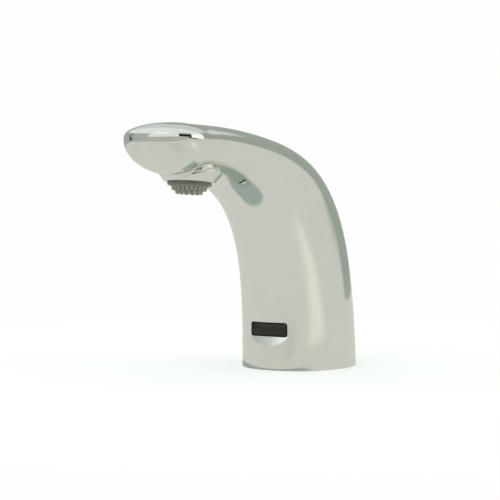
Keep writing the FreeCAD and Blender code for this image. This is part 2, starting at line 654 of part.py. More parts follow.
# ---------------------------------------------------------------- foot
def foot_nodes():
    """Plate, gasket, grommet and the two screws that hold the plate up in the casting."""
    draw_in = RIM_WALL + PLATE_CLEARANCE
    plate = foot_outline(draw_in, PLATE_BOTTOM, PLATE_TOP)
    holes = [
        cylinder(INLET_SHANK + 2 * CLEARANCE, 0, PLATE_TOP + OVERCUT, 0, VALVE_Y),
        cylinder(INLET_FLANGE + 4 * CLEARANCE, 0, PLATE_BOTTOM + INLET_FLANGE_THICKNESS, 0, VALVE_Y),
        cylinder(GROMMET_RADIUS, 0, PLATE_TOP + OVERCUT, 0, GROMMET_Y),
    ]
    for side in (-1, 1):
        holes.append(cylinder(STUD_HOLE_RADIUS, 0, PLATE_TOP + OVERCUT, side * STUD_SPACING / 2, STUD_Y))
        holes.append(cylinder(BASE_SCREW_RADIUS + 2 * CLEARANCE, 0, PLATE_TOP + OVERCUT, side * BOSS_X))
        holes.append(cone(BASE_SCREW_HEAD + 2 * CLEARANCE, BASE_SCREW_RADIUS + 2 * CLEARANCE, PLATE_BOTTOM,
                          PLATE_BOTTOM + BASE_SCREW_HEAD - BASE_SCREW_RADIUS, side * BOSS_X))
    gasket = foot_outline(draw_in, 0, GASKET_THICKNESS).cut(
        foot_outline(draw_in + GASKET_BAND, -OVERCUT, GASKET_THICKNESS + OVERCUT))
    screws = [base_screw(side * BOSS_X) for side in (-1, 1)]
    gasket = gasket.cut([cylinder(BASE_SCREW_HEAD + GASKET_SCREW_ROOM, -OVERCUT, GASKET_THICKNESS + OVERCUT,
                                  side * BOSS_X) for side in (-1, 1)])
    grommet = cylinder(GROMMET_RADIUS - CLEARANCE, PLATE_BOTTOM, PLATE_TOP, 0, GROMMET_Y).fuse(
        [cylinder(GROMMET_RADIUS + GROMMET_LIP, PLATE_BOTTOM - GROMMET_LIP_DEPTH, PLATE_BOTTOM, 0, GROMMET_Y),
         cone(GROMMET_RADIUS + GROMMET_LIP, GROMMET_RADIUS - GROMMET_BARB_TIP, PLATE_TOP,
              PLATE_TOP + GROMMET_BARB, 0, GROMMET_Y)])
    grommet = grommet.cut(cylinder(GROMMET_BORE, 0, PLATE_TOP + GROMMET_BARB + OVERCUT, 0, GROMMET_Y))
    return {"base_plate": plate.cut(holes), "base_gasket": gasket, "cable_grommet": grommet,
            "base_screws": Part.makeCompound(screws)}


def base_screw(x):
    """A countersunk screw that points up."""
    head_height = BASE_SCREW_HEAD - BASE_SCREW_RADIUS
    head = cone(BASE_SCREW_HEAD, BASE_SCREW_RADIUS, PLATE_BOTTOM, PLATE_BOTTOM + head_height, x)
    shank = cylinder(BASE_SCREW_RADIUS, PLATE_BOTTOM, PLATE_BOTTOM + BASE_SCREW_LENGTH, x)
    socket = hexagon(BASE_SCREW_SOCKET, PLATE_BOTTOM - OVERCUT, PLATE_BOTTOM + BASE_SCREW_SOCKET_DEPTH, x)
    return head.fuse(shank).cut(socket)


# ---------------------------------------------------------------- inlet and non-return valve
def inlet_nodes():
    """The threaded inlet under the foot, its seal, the filter and the non-return valve."""
    y = VALVE_Y
    flange_top = PLATE_BOTTOM + INLET_FLANGE_THICKNESS - 2 * CLEARANCE
    fitting = cylinder(INLET_FLANGE, INLET_BOTTOM, flange_top, 0, y).fuse(
        cylinder(INLET_SHANK, INLET_BOTTOM, SHANK_TOP, 0, y))
    thread_top = INLET_BOTTOM + INLET_THREAD_DEPTH
    seal_z = PLATE_TOP + INLET_SEAL_RISE
    fitting = fitting.cut([cylinder(INLET_BORE, INLET_BOTTOM - OVERCUT, thread_top, 0, y),
                           cylinder(INLET_WATERWAY, INLET_BOTTOM, SHANK_TOP + OVERCUT, 0, y),
                           ring(INLET_SHANK + OVERCUT, INLET_SHANK - SEAL_WIRE, seal_z - SEAL_WIRE,
                                seal_z + SEAL_WIRE, 0, y)])
    seal = o_ring(INLET_SHANK - SEAL_WIRE / 2 + CLEARANCE, SEAL_WIRE / 2 - CLEARANCE, seal_z, 0, y)
    filter_disc = cylinder(CARTRIDGE_RADIUS, SHANK_TOP, FILTER_TOP, 0, y)
    mesh_holes = [cylinder(FILTER_HOLE, SHANK_TOP - OVERCUT, FILTER_TOP + OVERCUT, dx, y + dy)
                  for step in range(3)
                  for dx, dy in round_the_axis(max(1, 6 * step), FILTER_PITCH * step)]
    return {"inlet_fitting": fitting, "inlet_seal": seal, "inlet_filter": filter_disc.cut(mesh_holes),
            "check_valve_body": check_cartridge(), "check_valve_poppet": check_poppet(),
            "check_valve_spring": check_spring()}


def check_cartridge():
    """The cage of the non-return valve: a seat below, a spider with a stem guide above."""
    y = VALVE_Y
    spider_z = CARTRIDGE_TOP - CARTRIDGE_WALL
    cage = cylinder(CARTRIDGE_RADIUS, FILTER_TOP, CARTRIDGE_TOP, 0, y)
    holes = [cylinder(CHECK_SEAT_BORE, FILTER_TOP - OVERCUT, CHECK_SEAT_Z, 0, y),
             cylinder(CARTRIDGE_RADIUS - CARTRIDGE_WALL, CHECK_SEAT_Z, spider_z, 0, y),
             cylinder(STEM_RADIUS + CLEARANCE, spider_z - OVERCUT, CARTRIDGE_TOP + OVERCUT, 0, y)]
    holes += [cylinder(SPIDER_HOLE, spider_z - OVERCUT, CARTRIDGE_TOP + OVERCUT, dx, y + dy)
              for dx, dy in round_the_axis(6, CHECK_SPRING_RADIUS + CHECK_SPRING_WIRE + SPIDER_HOLE_ROOM)]
    return cage.cut(holes)


def check_poppet():
    """The mushroom that lifts off the seat when water flows."""
    y = VALVE_Y
    disc = cylinder(POPPET_RADIUS, CHECK_SEAT_Z, CHECK_SEAT_Z + POPPET_THICKNESS, 0, y)
    stem = cylinder(STEM_RADIUS, CHECK_SEAT_Z, CARTRIDGE_TOP, 0, y)
    nose = cone(STEM_RADIUS, CHECK_SEAT_BORE - POPPET_NOSE_ROOM, CHECK_SEAT_Z - POPPET_NOSE, CHECK_SEAT_Z, 0, y)
    return disc.fuse([stem, nose])


def check_spring():
    """The light spring that closes the poppet."""
    return spring(CHECK_SPRING_RADIUS, CHECK_SPRING_WIRE, CHECK_SEAT_Z + POPPET_THICKNESS,
                  CARTRIDGE_TOP - CARTRIDGE_WALL, CHECK_SPRING_TURNS, 0, VALVE_Y)


# ---------------------------------------------------------------- diaphragm valve
def valve_nodes():
    """Valve body, diaphragm with its insert, bonnet and screws."""
    return {"valve_body": valve_body(), "diaphragm": diaphragm(), "diaphragm_insert": diaphragm_insert(),
            "valve_bonnet": valve_bonnet(), "bonnet_screws": Part.makeCompound(bonnet_screws())}


def screw_places():
    """Where the four bonnet screws stand."""
    return [(x, VALVE_Y + y) for x, y in round_the_axis(4, BONNET_SCREW_CIRCLE, 45.0)]


def valve_body():
    """Brass body: non-return chamber below, gallery and seat above, outlet socket in front."""
    y = VALVE_Y
    body = cylinder(VALVE_RADIUS, PLATE_TOP, SEAT_Z, 0, y).fuse(
        cylinder(FLANGE_RADIUS, SEAT_Z - FLANGE_THICKNESS, SEAT_Z, 0, y))
    socket = Part.makeCylinder(SOCKET_RADIUS, SOCKET_REACH + VALVE_RADIUS / 2,
                               Vector(0, SOCKET_MOUTH_Y, PORT_Z), Vector(0, 1, 0))
    holes = [
        cylinder(INLET_SHANK + CLEARANCE, PLATE_TOP - OVERCUT, SHANK_TOP, 0, y),
        cylinder(CHAMBER_RADIUS, SHANK_TOP - OVERCUT, CHAMBER_TOP, 0, y),
        ring(GALLERY_RADIUS, SEAT_RADIUS, SEAT_Z - GALLERY_DEPTH, SEAT_Z + OVERCUT, 0, y),
        cylinder(PORT_RADIUS, PORT_Z, SEAT_Z + OVERCUT, 0, y),
        Part.makeCylinder(PORT_RADIUS, y - SOCKET_MOUTH_Y, Vector(0, y, PORT_Z), Vector(0, -1, 0)),
        Part.makeCylinder(RISER_RADIUS + CLEARANCE, RISER_GRIP + OVERCUT,
                          Vector(0, SOCKET_MOUTH_Y + RISER_GRIP, PORT_Z), Vector(0, -1, 0)),
        seal_groove(),
    ]
    for angle in GALLERY_FLOOR_ANGLES:
        dx = CROSS_PASSAGE_CIRCLE * math.cos(math.radians(angle))
        dy = CROSS_PASSAGE_CIRCLE * math.sin(math.radians(angle))
        holes.append(cylinder(CROSS_PASSAGE, CHAMBER_TOP - OVERCUT, SEAT_Z - GALLERY_DEPTH + OVERCUT,
                              dx, y + dy))
    depth = BONNET_SCREW_LENGTH - BONNET_HEIGHT - DIAPHRAGM_THICKNESS + BONNET_TAP_DEPTH
    holes += [cylinder(BONNET_SCREW_RADIUS + CLEARANCE, SEAT_Z - depth, SEAT_Z + OVERCUT, x, sy)
              for x, sy in screw_places()]
    return body.fuse(socket).cut(holes)


def seal_groove():
    """The cut for the riser's lower seal, in the valve's socket."""
    y_low = SOCKET_MOUTH_Y + SOCKET_SEAL_DEPTH - SEAL_WIRE
    return Part.makeCylinder(RISER_RADIUS + SEAL_WIRE, 2 * SEAL_WIRE, Vector(0, y_low, PORT_Z), Vector(0, 1, 0))


def diaphragm():
    """Rubber disc clamped at its rim, with a shallow convolution and a hole for the insert's neck."""
    y = VALVE_Y
    disc = cylinder(FLANGE_RADIUS - DIAPHRAGM_RIM_ROOM, SEAT_Z, INSERT_BOTTOM, 0, y)
    groove = ring(GALLERY_RADIUS - CONVOLUTION_MARGIN, INSERT_RADIUS + CONVOLUTION_MARGIN,
                  INSERT_BOTTOM - CONVOLUTION_DEPTH, INSERT_BOTTOM + OVERCUT, 0, y)
    holes = [cylinder(BONNET_SCREW_RADIUS + 2 * CLEARANCE, SEAT_Z - OVERCUT, INSERT_BOTTOM + OVERCUT, x, sy)
             for x, sy in screw_places()]
    holes.append(cylinder(PILOT_BORE, SEAT_Z - OVERCUT, INSERT_BOTTOM + OVERCUT, 0, y))
    return disc.cut([groove] + holes)


def diaphragm_insert():
    """Stiff disc on the diaphragm, with the raised pilot nozzle that the plunger closes."""
    y = VALVE_Y
    disc = cylinder(INSERT_RADIUS, INSERT_BOTTOM, INSERT_BOTTOM + INSERT_THICKNESS, 0, y)
    nozzle = cone(PILOT_FOOT, PILOT_TIP, INSERT_BOTTOM + INSERT_THICKNESS, PILOT_TOP, 0, y)
    return disc.fuse(nozzle).cut(cylinder(PILOT_BORE, INSERT_BOTTOM - OVERCUT, PILOT_TOP + OVERCUT, 0, y))


def valve_bonnet():
    """Cover over the diaphragm. The guide tube's flange sits in its top."""
    y = VALVE_Y
    bonnet = cylinder(FLANGE_RADIUS, INSERT_BOTTOM, BONNET_TOP, 0, y)
    holes = [cylinder(GALLERY_RADIUS, INSERT_BOTTOM - OVERCUT, GUIDE_BOTTOM, 0, y),
             cylinder(GUIDE_RADIUS + CLEARANCE, INSERT_BOTTOM, BONNET_TOP + OVERCUT, 0, y)]
    for x, sy in screw_places():
        holes.append(cylinder(BONNET_SCREW_RADIUS + 2 * CLEARANCE, INSERT_BOTTOM - OVERCUT,
                              BONNET_TOP + OVERCUT, x, sy))
        holes.append(cylinder(BONNET_SCREW_HEAD + BONNET_SCREW_HEAD_ROOM, BONNET_SCREW_SEAT_Z,
                              BONNET_TOP + OVERCUT, x, sy))
    return bonnet.cut(holes)


def bonnet_screws():
    """Four socket screws whose heads sit flush in the bonnet."""
    made = []
    for x, y in screw_places():
        head_top = BONNET_SCREW_SEAT_Z + BONNET_SCREW_HEAD_HEIGHT
        head = cylinder(BONNET_SCREW_HEAD, BONNET_SCREW_SEAT_Z, head_top, x, y)
        shank = cylinder(BONNET_SCREW_RADIUS, BONNET_TOP - BONNET_SCREW_LENGTH, BONNET_SCREW_SEAT_Z, x, y)
        socket = hexagon(BONNET_SCREW_SOCKET, head_top - BONNET_SCREW_SOCKET_DEPTH, head_top + OVERCUT, x, y)
        made.append(head.fuse(shank).cut(socket))
    return made


# ---------------------------------------------------------------- solenoid
def solenoid_nodes():
    """Plunger and spring in their tube, and the coil round it."""
    y = VALVE_Y
    seal_top = PILOT_TOP + PLUNGER_SEAL_THICKNESS
    pocket_radius = PLUNGER_SPRING_RADIUS + PLUNGER_SPRING_WIRE + SPRING_POCKET_ROOM
    plunger = cylinder(PLUNGER_RADIUS, PILOT_TOP, PLUNGER_TOP, 0, y).cut(
        [cylinder(pocket_radius, PLUNGER_TOP - SPRING_POCKET, PLUNGER_TOP + OVERCUT, 0, y),
         cylinder(PLUNGER_SEAL_RADIUS, PILOT_TOP - OVERCUT, seal_top, 0, y)])
    seal = cylinder(PLUNGER_SEAL_RADIUS, PILOT_TOP, seal_top, 0, y)
    tube = ring(GUIDE_RADIUS, GUIDE_BORE, GUIDE_BOTTOM, CORE_TOP, 0, y)
    core = cylinder(GUIDE_BORE - CLEARANCE, CORE_BOTTOM, CORE_TOP, 0, y)
    bobbin_bore = GUIDE_RADIUS + CLEARANCE
    bobbin = ring(bobbin_bore + BOBBIN_WALL, bobbin_bore, BOBBIN_BOTTOM, BOBBIN_TOP, 0, y).fuse(
        [ring(BOBBIN_RADIUS, bobbin_bore, BOBBIN_BOTTOM, BOBBIN_BOTTOM + BOBBIN_FLANGE, 0, y),
         ring(BOBBIN_RADIUS, bobbin_bore, BOBBIN_TOP - BOBBIN_FLANGE, BOBBIN_TOP, 0, y),
         terminal_tab()])
    winding = ring(WINDING_RADIUS, bobbin_bore + BOBBIN_WALL + CLEARANCE, BOBBIN_BOTTOM + BOBBIN_FLANGE,
                   BOBBIN_TOP - BOBBIN_FLANGE, 0, y)
    nut_bottom = BOBBIN_TOP + YOKE_THICKNESS
    nut = hexagon(COIL_NUT_RADIUS, nut_bottom, nut_bottom + COIL_NUT_HEIGHT, 0, y).cut(
        cylinder(GUIDE_RADIUS + CLEARANCE, nut_bottom - OVERCUT, nut_bottom + COIL_NUT_HEIGHT + OVERCUT, 0, y))
    return {"plunger": plunger, "plunger_seal": seal, "plunger_spring": plunger_spring(),
            "guide_tube": tube, "fixed_core": core, "coil_bobbin": bobbin, "coil_winding": winding,
            "coil_yoke": coil_yoke(), "coil_nut": nut, "coil_terminals": coil_terminals(),
            "solenoid_lead": solenoid_lead()}


def plunger_spring():
    """The spring that shuts the plunger, between its pocket and the fixed core."""
    return spring(PLUNGER_SPRING_RADIUS, PLUNGER_SPRING_WIRE, PLUNGER_TOP - SPRING_POCKET, CORE_BOTTOM,
                  PLUNGER_SPRING_TURNS, 0, VALVE_Y)


def terminal_tab():
    """The tab of the bobbin's lower flange that carries the terminals."""
    half = TERMINAL_SIZE / 2 + TERMINAL_MARGIN
    return block((TERMINAL_TAB_ROOT, BOBBIN_RADIUS + TERMINAL_SIZE + TERMINAL_MARGIN),
                 (VALVE_Y - half, VALVE_Y + half), (BOBBIN_BOTTOM, BOBBIN_BOTTOM + BOBBIN_FLANGE))


def coil_terminals():
    """The moulded block where the lead meets the winding."""
    low = BOBBIN_BOTTOM + BOBBIN_FLANGE
    return block((BOBBIN_RADIUS, BOBBIN_RADIUS + TERMINAL_SIZE),
                 (VALVE_Y - TERMINAL_SIZE / 2, VALVE_Y + TERMINAL_SIZE / 2), (low, low + TERMINAL_HEIGHT))


def coil_yoke():
    """A bent steel strip under, behind and over the coil."""
    y = VALVE_Y
    half = YOKE_WIDTH / 2
    back = y + BOBBIN_RADIUS + 2 * CLEARANCE
    lower = block((-half, half), (y - BOBBIN_RADIUS + YOKE_SETBACK, back + YOKE_THICKNESS),
                  (BONNET_TOP, BOBBIN_BOTTOM))
    upper = lower.copy()
    upper.translate(Vector(0, 0, BOBBIN_TOP - BONNET_TOP))
    spine = block((-half, half), (back, back + YOKE_THICKNESS), (BONNET_TOP, BOBBIN_TOP + YOKE_THICKNESS))
    bore = cylinder(GUIDE_RADIUS + CLEARANCE, BONNET_TOP - OVERCUT, BOBBIN_TOP + YOKE_THICKNESS + OVERCUT, 0, y)
    return spine.fuse([lower, upper]).cut(bore)


def tube_along(points, bends, radius, bore):
    """A round tube through corner points, with each inner corner turned on its own radius."""
    path = []
    here = points[0]
    for before, corner, after, bend in zip(points, points[1:], points[2:], bends):
        arrive = (corner - before).normalize()
        leave = (after - corner).normalize()
        turn = arrive.getAngle(leave)
        inset = bend * math.tan(turn / 2)
        start = corner - arrive * inset
        end = corner + leave * inset
        toward = (leave - arrive).normalize()
        centre = corner + toward * (bend / math.cos(turn / 2))
        middle = centre - toward * bend
        path.append(Part.LineSegment(here, start).toShape())
        path.append(Part.Arc(start, middle, end).toShape())
        here = end
    path.append(Part.LineSegment(here, points[-1]).toShape())
    spine = Part.Wire(path)
    direction = (points[1] - points[0]).normalize()
    solid = spine.makePipeShell([Part.Wire(Part.makeCircle(radius, points[0], direction))], True, True)
    if bore:
        hollow = spine.makePipeShell([Part.Wire(Part.makeCircle(bore, points[0], direction))], True, True)
        solid = solid.cut(hollow)
    return solid


def solenoid_lead():
    """The two-core lead from the sensor's housing to the coil's terminals."""
    x = BOBBIN_RADIUS + TERMINAL_SIZE / 2
    start = Vector(x, (WINDOW_BACK_Y + SENSOR_BACK_Y) / 2, WINDOW_Z + SENSOR_HEIGHT / 2)
    end = Vector(x, VALVE_Y - TERMINAL_SIZE / 2, BOBBIN_BOTTOM + BOBBIN_FLANGE + TERMINAL_HEIGHT / 2)
    corner = Vector(x, start.y, end.z)
    return tube_along([start, corner, end], [LEAD_BEND], LEAD_RADIUS, 0)


# ---------------------------------------------------------------- riser
def riser_port():
    """Middle of the riser's upper end, on the outlet's axis."""
    tilt = math.radians(OUTLET_TILT)
    return Vector(0, -REACH + RISER_PORT_T * math.sin(tilt), OUTLET_HEIGHT + RISER_PORT_T * math.cos(tilt))


def riser_nodes():
    """The bent tube from the valve to the outlet, with a seal at each end."""
    tilt = math.radians(OUTLET_TILT)
    back = Vector(0, math.cos(tilt), -math.sin(tilt))
    port = riser_port()
    first = Vector(0, SOCKET_MOUTH_Y + RISER_GRIP - CLEARANCE, PORT_Z)
    lower = Vector(0, RISER_Y, PORT_Z)
    upper = port + back * ((RISER_Y - port.y) / back.y)
    last = port + back * (COLLAR_RADIUS - RISER_GRIP)
    tube = tube_along([first, lower, upper, last], [RISER_LOWER_BEND, RISER_UPPER_BEND],
                      RISER_RADIUS, RISER_BORE)
    seal_y = SOCKET_MOUTH_Y + SOCKET_SEAL_DEPTH
    middle = RISER_RADIUS + SEAL_WIRE / 2
    lower_seal = Part.makeTorus(middle, SEAL_WIRE / 2 - CLEARANCE, Vector(0, seal_y, PORT_Z), Vector(0, 1, 0))
    upper_seal = Part.makeTorus(middle, SEAL_WIRE / 2 - CLEARANCE,
                                port + back * (COLLAR_RADIUS - UPPER_SEAL_DEPTH), back)
    return {"riser_tube": tube, "riser_seal_lower": lower_seal, "riser_seal_upper": upper_seal}


# ---------------------------------------------------------------- outlet
def outlet_nodes():
    """Adapter, washer, screen, regulator, spray disc and the collar that holds them, on the outlet's axis."""
    nodes = {"outlet_adapter": adapter(), "adapter_seal": adapter_seal(), "outlet_collar": collar(),
             "spray_disc": spray_disc()}
    regulator_low = LIP_TOP + SPRAY_FLANGE
    regulator_high = regulator_low + REGULATOR_THICKNESS
    fit_radius = COLLAR_BORE - CLEARANCE
    jets = [cylinder(REGULATOR_JET, regulator_low - OVERCUT, regulator_high + OVERCUT, x, y)
            for x, y in round_the_axis(REGULATOR_JETS, REGULATOR_JET_CIRCLE)]
    groove = ring(fit_radius + OVERCUT, fit_radius - REGULATOR_GROOVE_DEPTH,
                  regulator_low + REGULATOR_GROOVE, regulator_low + 2 * REGULATOR_GROOVE)
    nodes["flow_regulator"] = cylinder(fit_radius, regulator_low, regulator_high).cut(jets + [groove])
    screen_high = regulator_high + SCREEN_THICKNESS
    screen = cylinder(fit_radius, regulator_high, screen_high)
    meshes = [cylinder(SCREEN_HOLE, regulator_high - OVERCUT, screen_high + OVERCUT, x, y)
              for step in range(4)
              for x, y in round_the_axis(max(1, 6 * step), SCREEN_PITCH * step)]
    nodes["outlet_screen"] = screen.cut(meshes)
    nodes["outlet_washer"] = ring(COLLAR_RADIUS, WASHER_BORE, COLLAR_LENGTH, COLLAR_LENGTH + WASHER_THICKNESS)
    return {name: at_outlet(shape) for name, shape in nodes.items()}


def adapter():
    """The plug that turns the water down into the collar: open below, with the riser's socket at its back."""
    high = ADAPTER_BOTTOM + ADAPTER_HEIGHT
    plug = cylinder(COLLAR_RADIUS, ADAPTER_BOTTOM, high)
    chamber = cylinder(WASHER_BORE, ADAPTER_BOTTOM - OVERCUT, high - ADAPTER_WALL)
    socket_floor = COLLAR_RADIUS - RISER_GRIP - CLEARANCE
    socket = Part.makeCylinder(RISER_RADIUS + CLEARANCE, RISER_GRIP + 2 * OVERCUT,
                               Vector(0, socket_floor, RISER_PORT_T), Vector(0, 1, 0))
    seal_y = COLLAR_RADIUS - UPPER_SEAL_DEPTH
    seal_cut = Part.makeCylinder(RISER_RADIUS + SEAL_WIRE, 2 * SEAL_WIRE,
                                 Vector(0, seal_y - SEAL_WIRE, RISER_PORT_T), Vector(0, 1, 0))
    outer_groove = ring(COLLAR_RADIUS + OVERCUT, COLLAR_RADIUS - SEAL_WIRE, ADAPTER_SEAL_T - SEAL_WIRE / 2,
                        ADAPTER_SEAL_T + SEAL_WIRE / 2)
    return plug.cut([chamber, socket, seal_cut, outer_groove])


def adapter_seal():
    """The seal between the adapter and the bore of the casting."""
    return o_ring(COLLAR_RADIUS - SEAL_WIRE / 2 + CLEARANCE, SEAL_WIRE / 2 - CLEARANCE, ADAPTER_SEAL_T)


def collar():
    """The dark ring that screws into the boss; its lip shows below the rim."""
    chamfer_top = COLLAR_CHAMFER - COLLAR_LIP
    lip = cone(COLLAR_RADIUS - COLLAR_CHAMFER, COLLAR_RADIUS, -COLLAR_LIP, chamfer_top)
    rest = cylinder(COLLAR_RADIUS, chamfer_top, COLLAR_LENGTH)
    return lip.fuse(rest).cut([cylinder(LIP_BORE, -COLLAR_LIP - OVERCUT, LIP_TOP + OVERCUT),
                               cylinder(COLLAR_BORE, LIP_TOP, COLLAR_LENGTH + OVERCUT)])


def spray_disc():
    """The grey rubber disc with rings of nozzles that stand down from a stepped face."""
    flange = cylinder(COLLAR_BORE - CLEARANCE, LIP_TOP, LIP_TOP + SPRAY_FLANGE)
    plate = cylinder(LIP_BORE - CLEARANCE, -SPRAY_PLATE_DROP, LIP_TOP)
    step = cylinder(SPRAY_STEP_RADIUS, -SPRAY_STEP_DROP, -SPRAY_PLATE_DROP)
    places = [(x, y, SPRAY_PLATE_DROP, OUTER_NUB_DROP)
              for x, y in round_the_axis(OUTER_NUBS, OUTER_NUB_CIRCLE)]
    places += [(x, y, SPRAY_STEP_DROP, INNER_NUB_DROP)
               for count, radius in ((STEP_NUBS, STEP_NUB_CIRCLE), (INNER_NUBS, INNER_NUB_CIRCLE), (1, 0.0))
               for x, y in round_the_axis(count, radius)]
    nubs = [cone(NUB_TIP, NUB_RADIUS, -drop, -root, x, y) for x, y, root, drop in places]
    bores = [cylinder(NUB_BORE, -drop - OVERCUT, LIP_TOP + SPRAY_FLANGE + OVERCUT, x, y)
             for x, y, root, drop in places]
    return flange.fuse([plate, step] + nubs).cut(bores)


# ---------------------------------------------------------------- sensor
def sensor_nodes():
    """The window, its gasket and the module behind it."""
    face = rounded_plate(WINDOW_WIDTH, WINDOW_HEIGHT, WINDOW_CORNER, WINDOW_FACE_Y, SEAT_Y + SENSOR_GASKET,
                         WINDOW_Z)
    flange_y = SEAT_Y + SENSOR_GASKET
    flange = rounded_plate(2 * SENSOR_HALF_WIDTH, WINDOW_HEIGHT + 2 * WINDOW_FLANGE, WINDOW_CORNER,
                           flange_y, WINDOW_BACK_Y, WINDOW_Z)
    gasket = rounded_plate(2 * SENSOR_HALF_WIDTH, WINDOW_HEIGHT + 2 * WINDOW_FLANGE, WINDOW_CORNER,
                           SEAT_Y, flange_y, WINDOW_Z).cut(
        rounded_plate(WINDOW_WIDTH + 2 * WINDOW_CLEARANCE, WINDOW_HEIGHT + 2 * WINDOW_CLEARANCE,
                      WINDOW_CORNER, SEAT_Y - OVERCUT, flange_y + OVERCUT, WINDOW_Z))
    nodes = {"sensor_window": face.fuse(flange), "sensor_gasket": gasket}
    nodes.update(sensor_module())
    return nodes


def sensor_module():
    """The housing, the board, the two diodes, the wall between them and the two screws."""
    half = SENSOR_HALF_WIDTH
    z_range = (WINDOW_Z - SENSOR_HEIGHT / 2, WINDOW_Z + SENSOR_HEIGHT / 2)
    housing = block((-half, half), (WINDOW_BACK_Y, SENSOR_BACK_Y), z_range)
    inside = block((-half + SENSOR_WALL, half - SENSOR_WALL),
                   (WINDOW_BACK_Y - OVERCUT, SENSOR_BACK_Y - SENSOR_WALL),
                   (z_range[0] + SENSOR_WALL, z_range[1] - SENSOR_WALL))
    ears = [block(sorted((side * half, side * (EAR_X + EAR_MARGIN))),
                  (WINDOW_BACK_Y, WINDOW_BACK_Y + EAR_THICKNESS),
                  (WINDOW_Z - EAR_HEIGHT / 2, WINDOW_Z + EAR_HEIGHT / 2)) for side in (-1, 1)]
    housing = housing.cut(inside).fuse(ears)
    screw_holes = [along_y(SENSOR_SCREW_RADIUS + CLEARANCE, WINDOW_BACK_Y - OVERCUT,
                           WINDOW_BACK_Y + EAR_THICKNESS + OVERCUT, side * EAR_X) for side in (-1, 1)]
    board_y = SENSOR_BACK_Y - SENSOR_WALL - BOARD_THICKNESS
    board_inset = SENSOR_WALL + BOARD_ROOM
    board_z = (z_range[0] + board_inset, z_range[1] - board_inset)
    board = block((-half + board_inset, half - board_inset), (board_y, board_y + BOARD_THICKNESS), board_z)
    barrier = block((-BARRIER_THICKNESS / 2, BARRIER_THICKNESS / 2), (WINDOW_BACK_Y, board_y), board_z)
    return {"sensor_housing": housing.cut(screw_holes), "sensor_board": board,
            "ir_emitter": diode(-DIODE_SPACING / 2, board_y), "ir_receiver": diode(DIODE_SPACING / 2, board_y),
            "light_barrier": barrier, "sensor_screws": Part.makeCompound(sensor_screws())}


def along_y(radius, y_low, y_high, x):
    """A cylinder along Y at the height of the window."""
    return Part.makeCylinder(radius, y_high - y_low, Vector(x, y_low, WINDOW_Z), Vector(0, 1, 0))


def diode(x, board_y):
    """A round infrared diode that stands on the board and looks at the window."""
    dome_y = WINDOW_BACK_Y + DIODE_GAP + DIODE_RADIUS
    barrel = along_y(DIODE_RADIUS, dome_y, board_y, x)
    collar_ring = along_y(DIODE_RADIUS + DIODE_RIM, board_y - DIODE_RIM_THICKNESS, board_y, x)
    dome = Part.makeSphere(DIODE_RADIUS, Vector(x, dome_y, WINDOW_Z))
    return barrel.fuse([collar_ring, dome])


def sensor_screws():
    """Two small screws through the housing's ears into the casting."""
    made = []
    back = WINDOW_BACK_Y + EAR_THICKNESS
    head_back = back + SENSOR_SCREW_HEAD_HEIGHT
    for side in (-1, 1):
        shank = along_y(SENSOR_SCREW_RADIUS, WINDOW_BACK_Y - SENSOR_SCREW_BITE, back, side * EAR_X)
        head = along_y(SENSOR_SCREW_HEAD, back, head_back, side * EAR_X)
        slot = block((side * EAR_X - SENSOR_SCREW_SLOT / 2, side * EAR_X + SENSOR_SCREW_SLOT / 2),
                     (head_back - SENSOR_SCREW_SLOT_DEPTH, head_back + OVERCUT),
                     (WINDOW_Z - 2 * SENSOR_SCREW_HEAD, WINDOW_Z + 2 * SENSOR_SCREW_HEAD))
        made.append(shank.fuse(head).cut(slot))
    return made


# ---------------------------------------------------------------- build
def main():
    """Builds every node and writes one STEP file for each."""
    nodes = {"spout_body": spout_body()}
    groups = (foot_nodes, inlet_nodes, valve_nodes, solenoid_nodes, riser_nodes, outlet_nodes, sensor_nodes)
    for group in groups:
        nodes.update(group())
    os.makedirs("parts", exist_ok=True)
    for name, shape in nodes.items():
        solids = shape.Solids
        whole = Part.makeCompound(solids) if len(solids) > 1 else solids[0]
        whole.exportStep(os.path.join("parts", name + ".step"))
        volume = whole.Volume / 1000
        print(f"{name:20s} solids {len(solids)}  volume {volume:8.3f} cm3  valid {whole.isValid()}")
    print(len(nodes), "nodes")


main()
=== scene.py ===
"""Sensor tap: the dressed scene.

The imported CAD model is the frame. The visible casting, outlet insert and sensor window are built here as
fine meshes in place of their CAD nodes; every other node keeps its CAD shape and gets its own material.
All sizes in this file are in millimetres, in the CAD frame: +Z is up and the spout points along -Y.
"""

from __future__ import annotations

import json
import logging
import math
from bisect import bisect_right
from dataclasses import dataclass, field
from enum import Enum
from typing import Callable, Iterable, Sequence

import bmesh
import bpy
from mathutils import Matrix, Vector
from mathutils.kdtree import KDTree

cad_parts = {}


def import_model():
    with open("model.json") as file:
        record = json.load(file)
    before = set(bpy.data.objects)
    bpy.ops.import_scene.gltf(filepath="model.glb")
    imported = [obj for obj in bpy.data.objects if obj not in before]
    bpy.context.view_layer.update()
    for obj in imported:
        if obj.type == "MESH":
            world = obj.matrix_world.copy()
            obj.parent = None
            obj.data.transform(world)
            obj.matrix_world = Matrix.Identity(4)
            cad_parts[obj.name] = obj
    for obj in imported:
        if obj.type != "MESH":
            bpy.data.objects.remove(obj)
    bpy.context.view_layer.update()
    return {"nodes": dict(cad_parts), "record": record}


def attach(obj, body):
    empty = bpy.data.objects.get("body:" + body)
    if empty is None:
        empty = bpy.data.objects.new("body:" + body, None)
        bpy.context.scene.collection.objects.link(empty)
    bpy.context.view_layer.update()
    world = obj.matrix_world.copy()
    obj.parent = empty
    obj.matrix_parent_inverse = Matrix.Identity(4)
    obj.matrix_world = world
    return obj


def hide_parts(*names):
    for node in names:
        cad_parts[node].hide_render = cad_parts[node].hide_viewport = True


MM = 0.001
BODY = "tap_body"
LOG = logging.getLogger("tap")

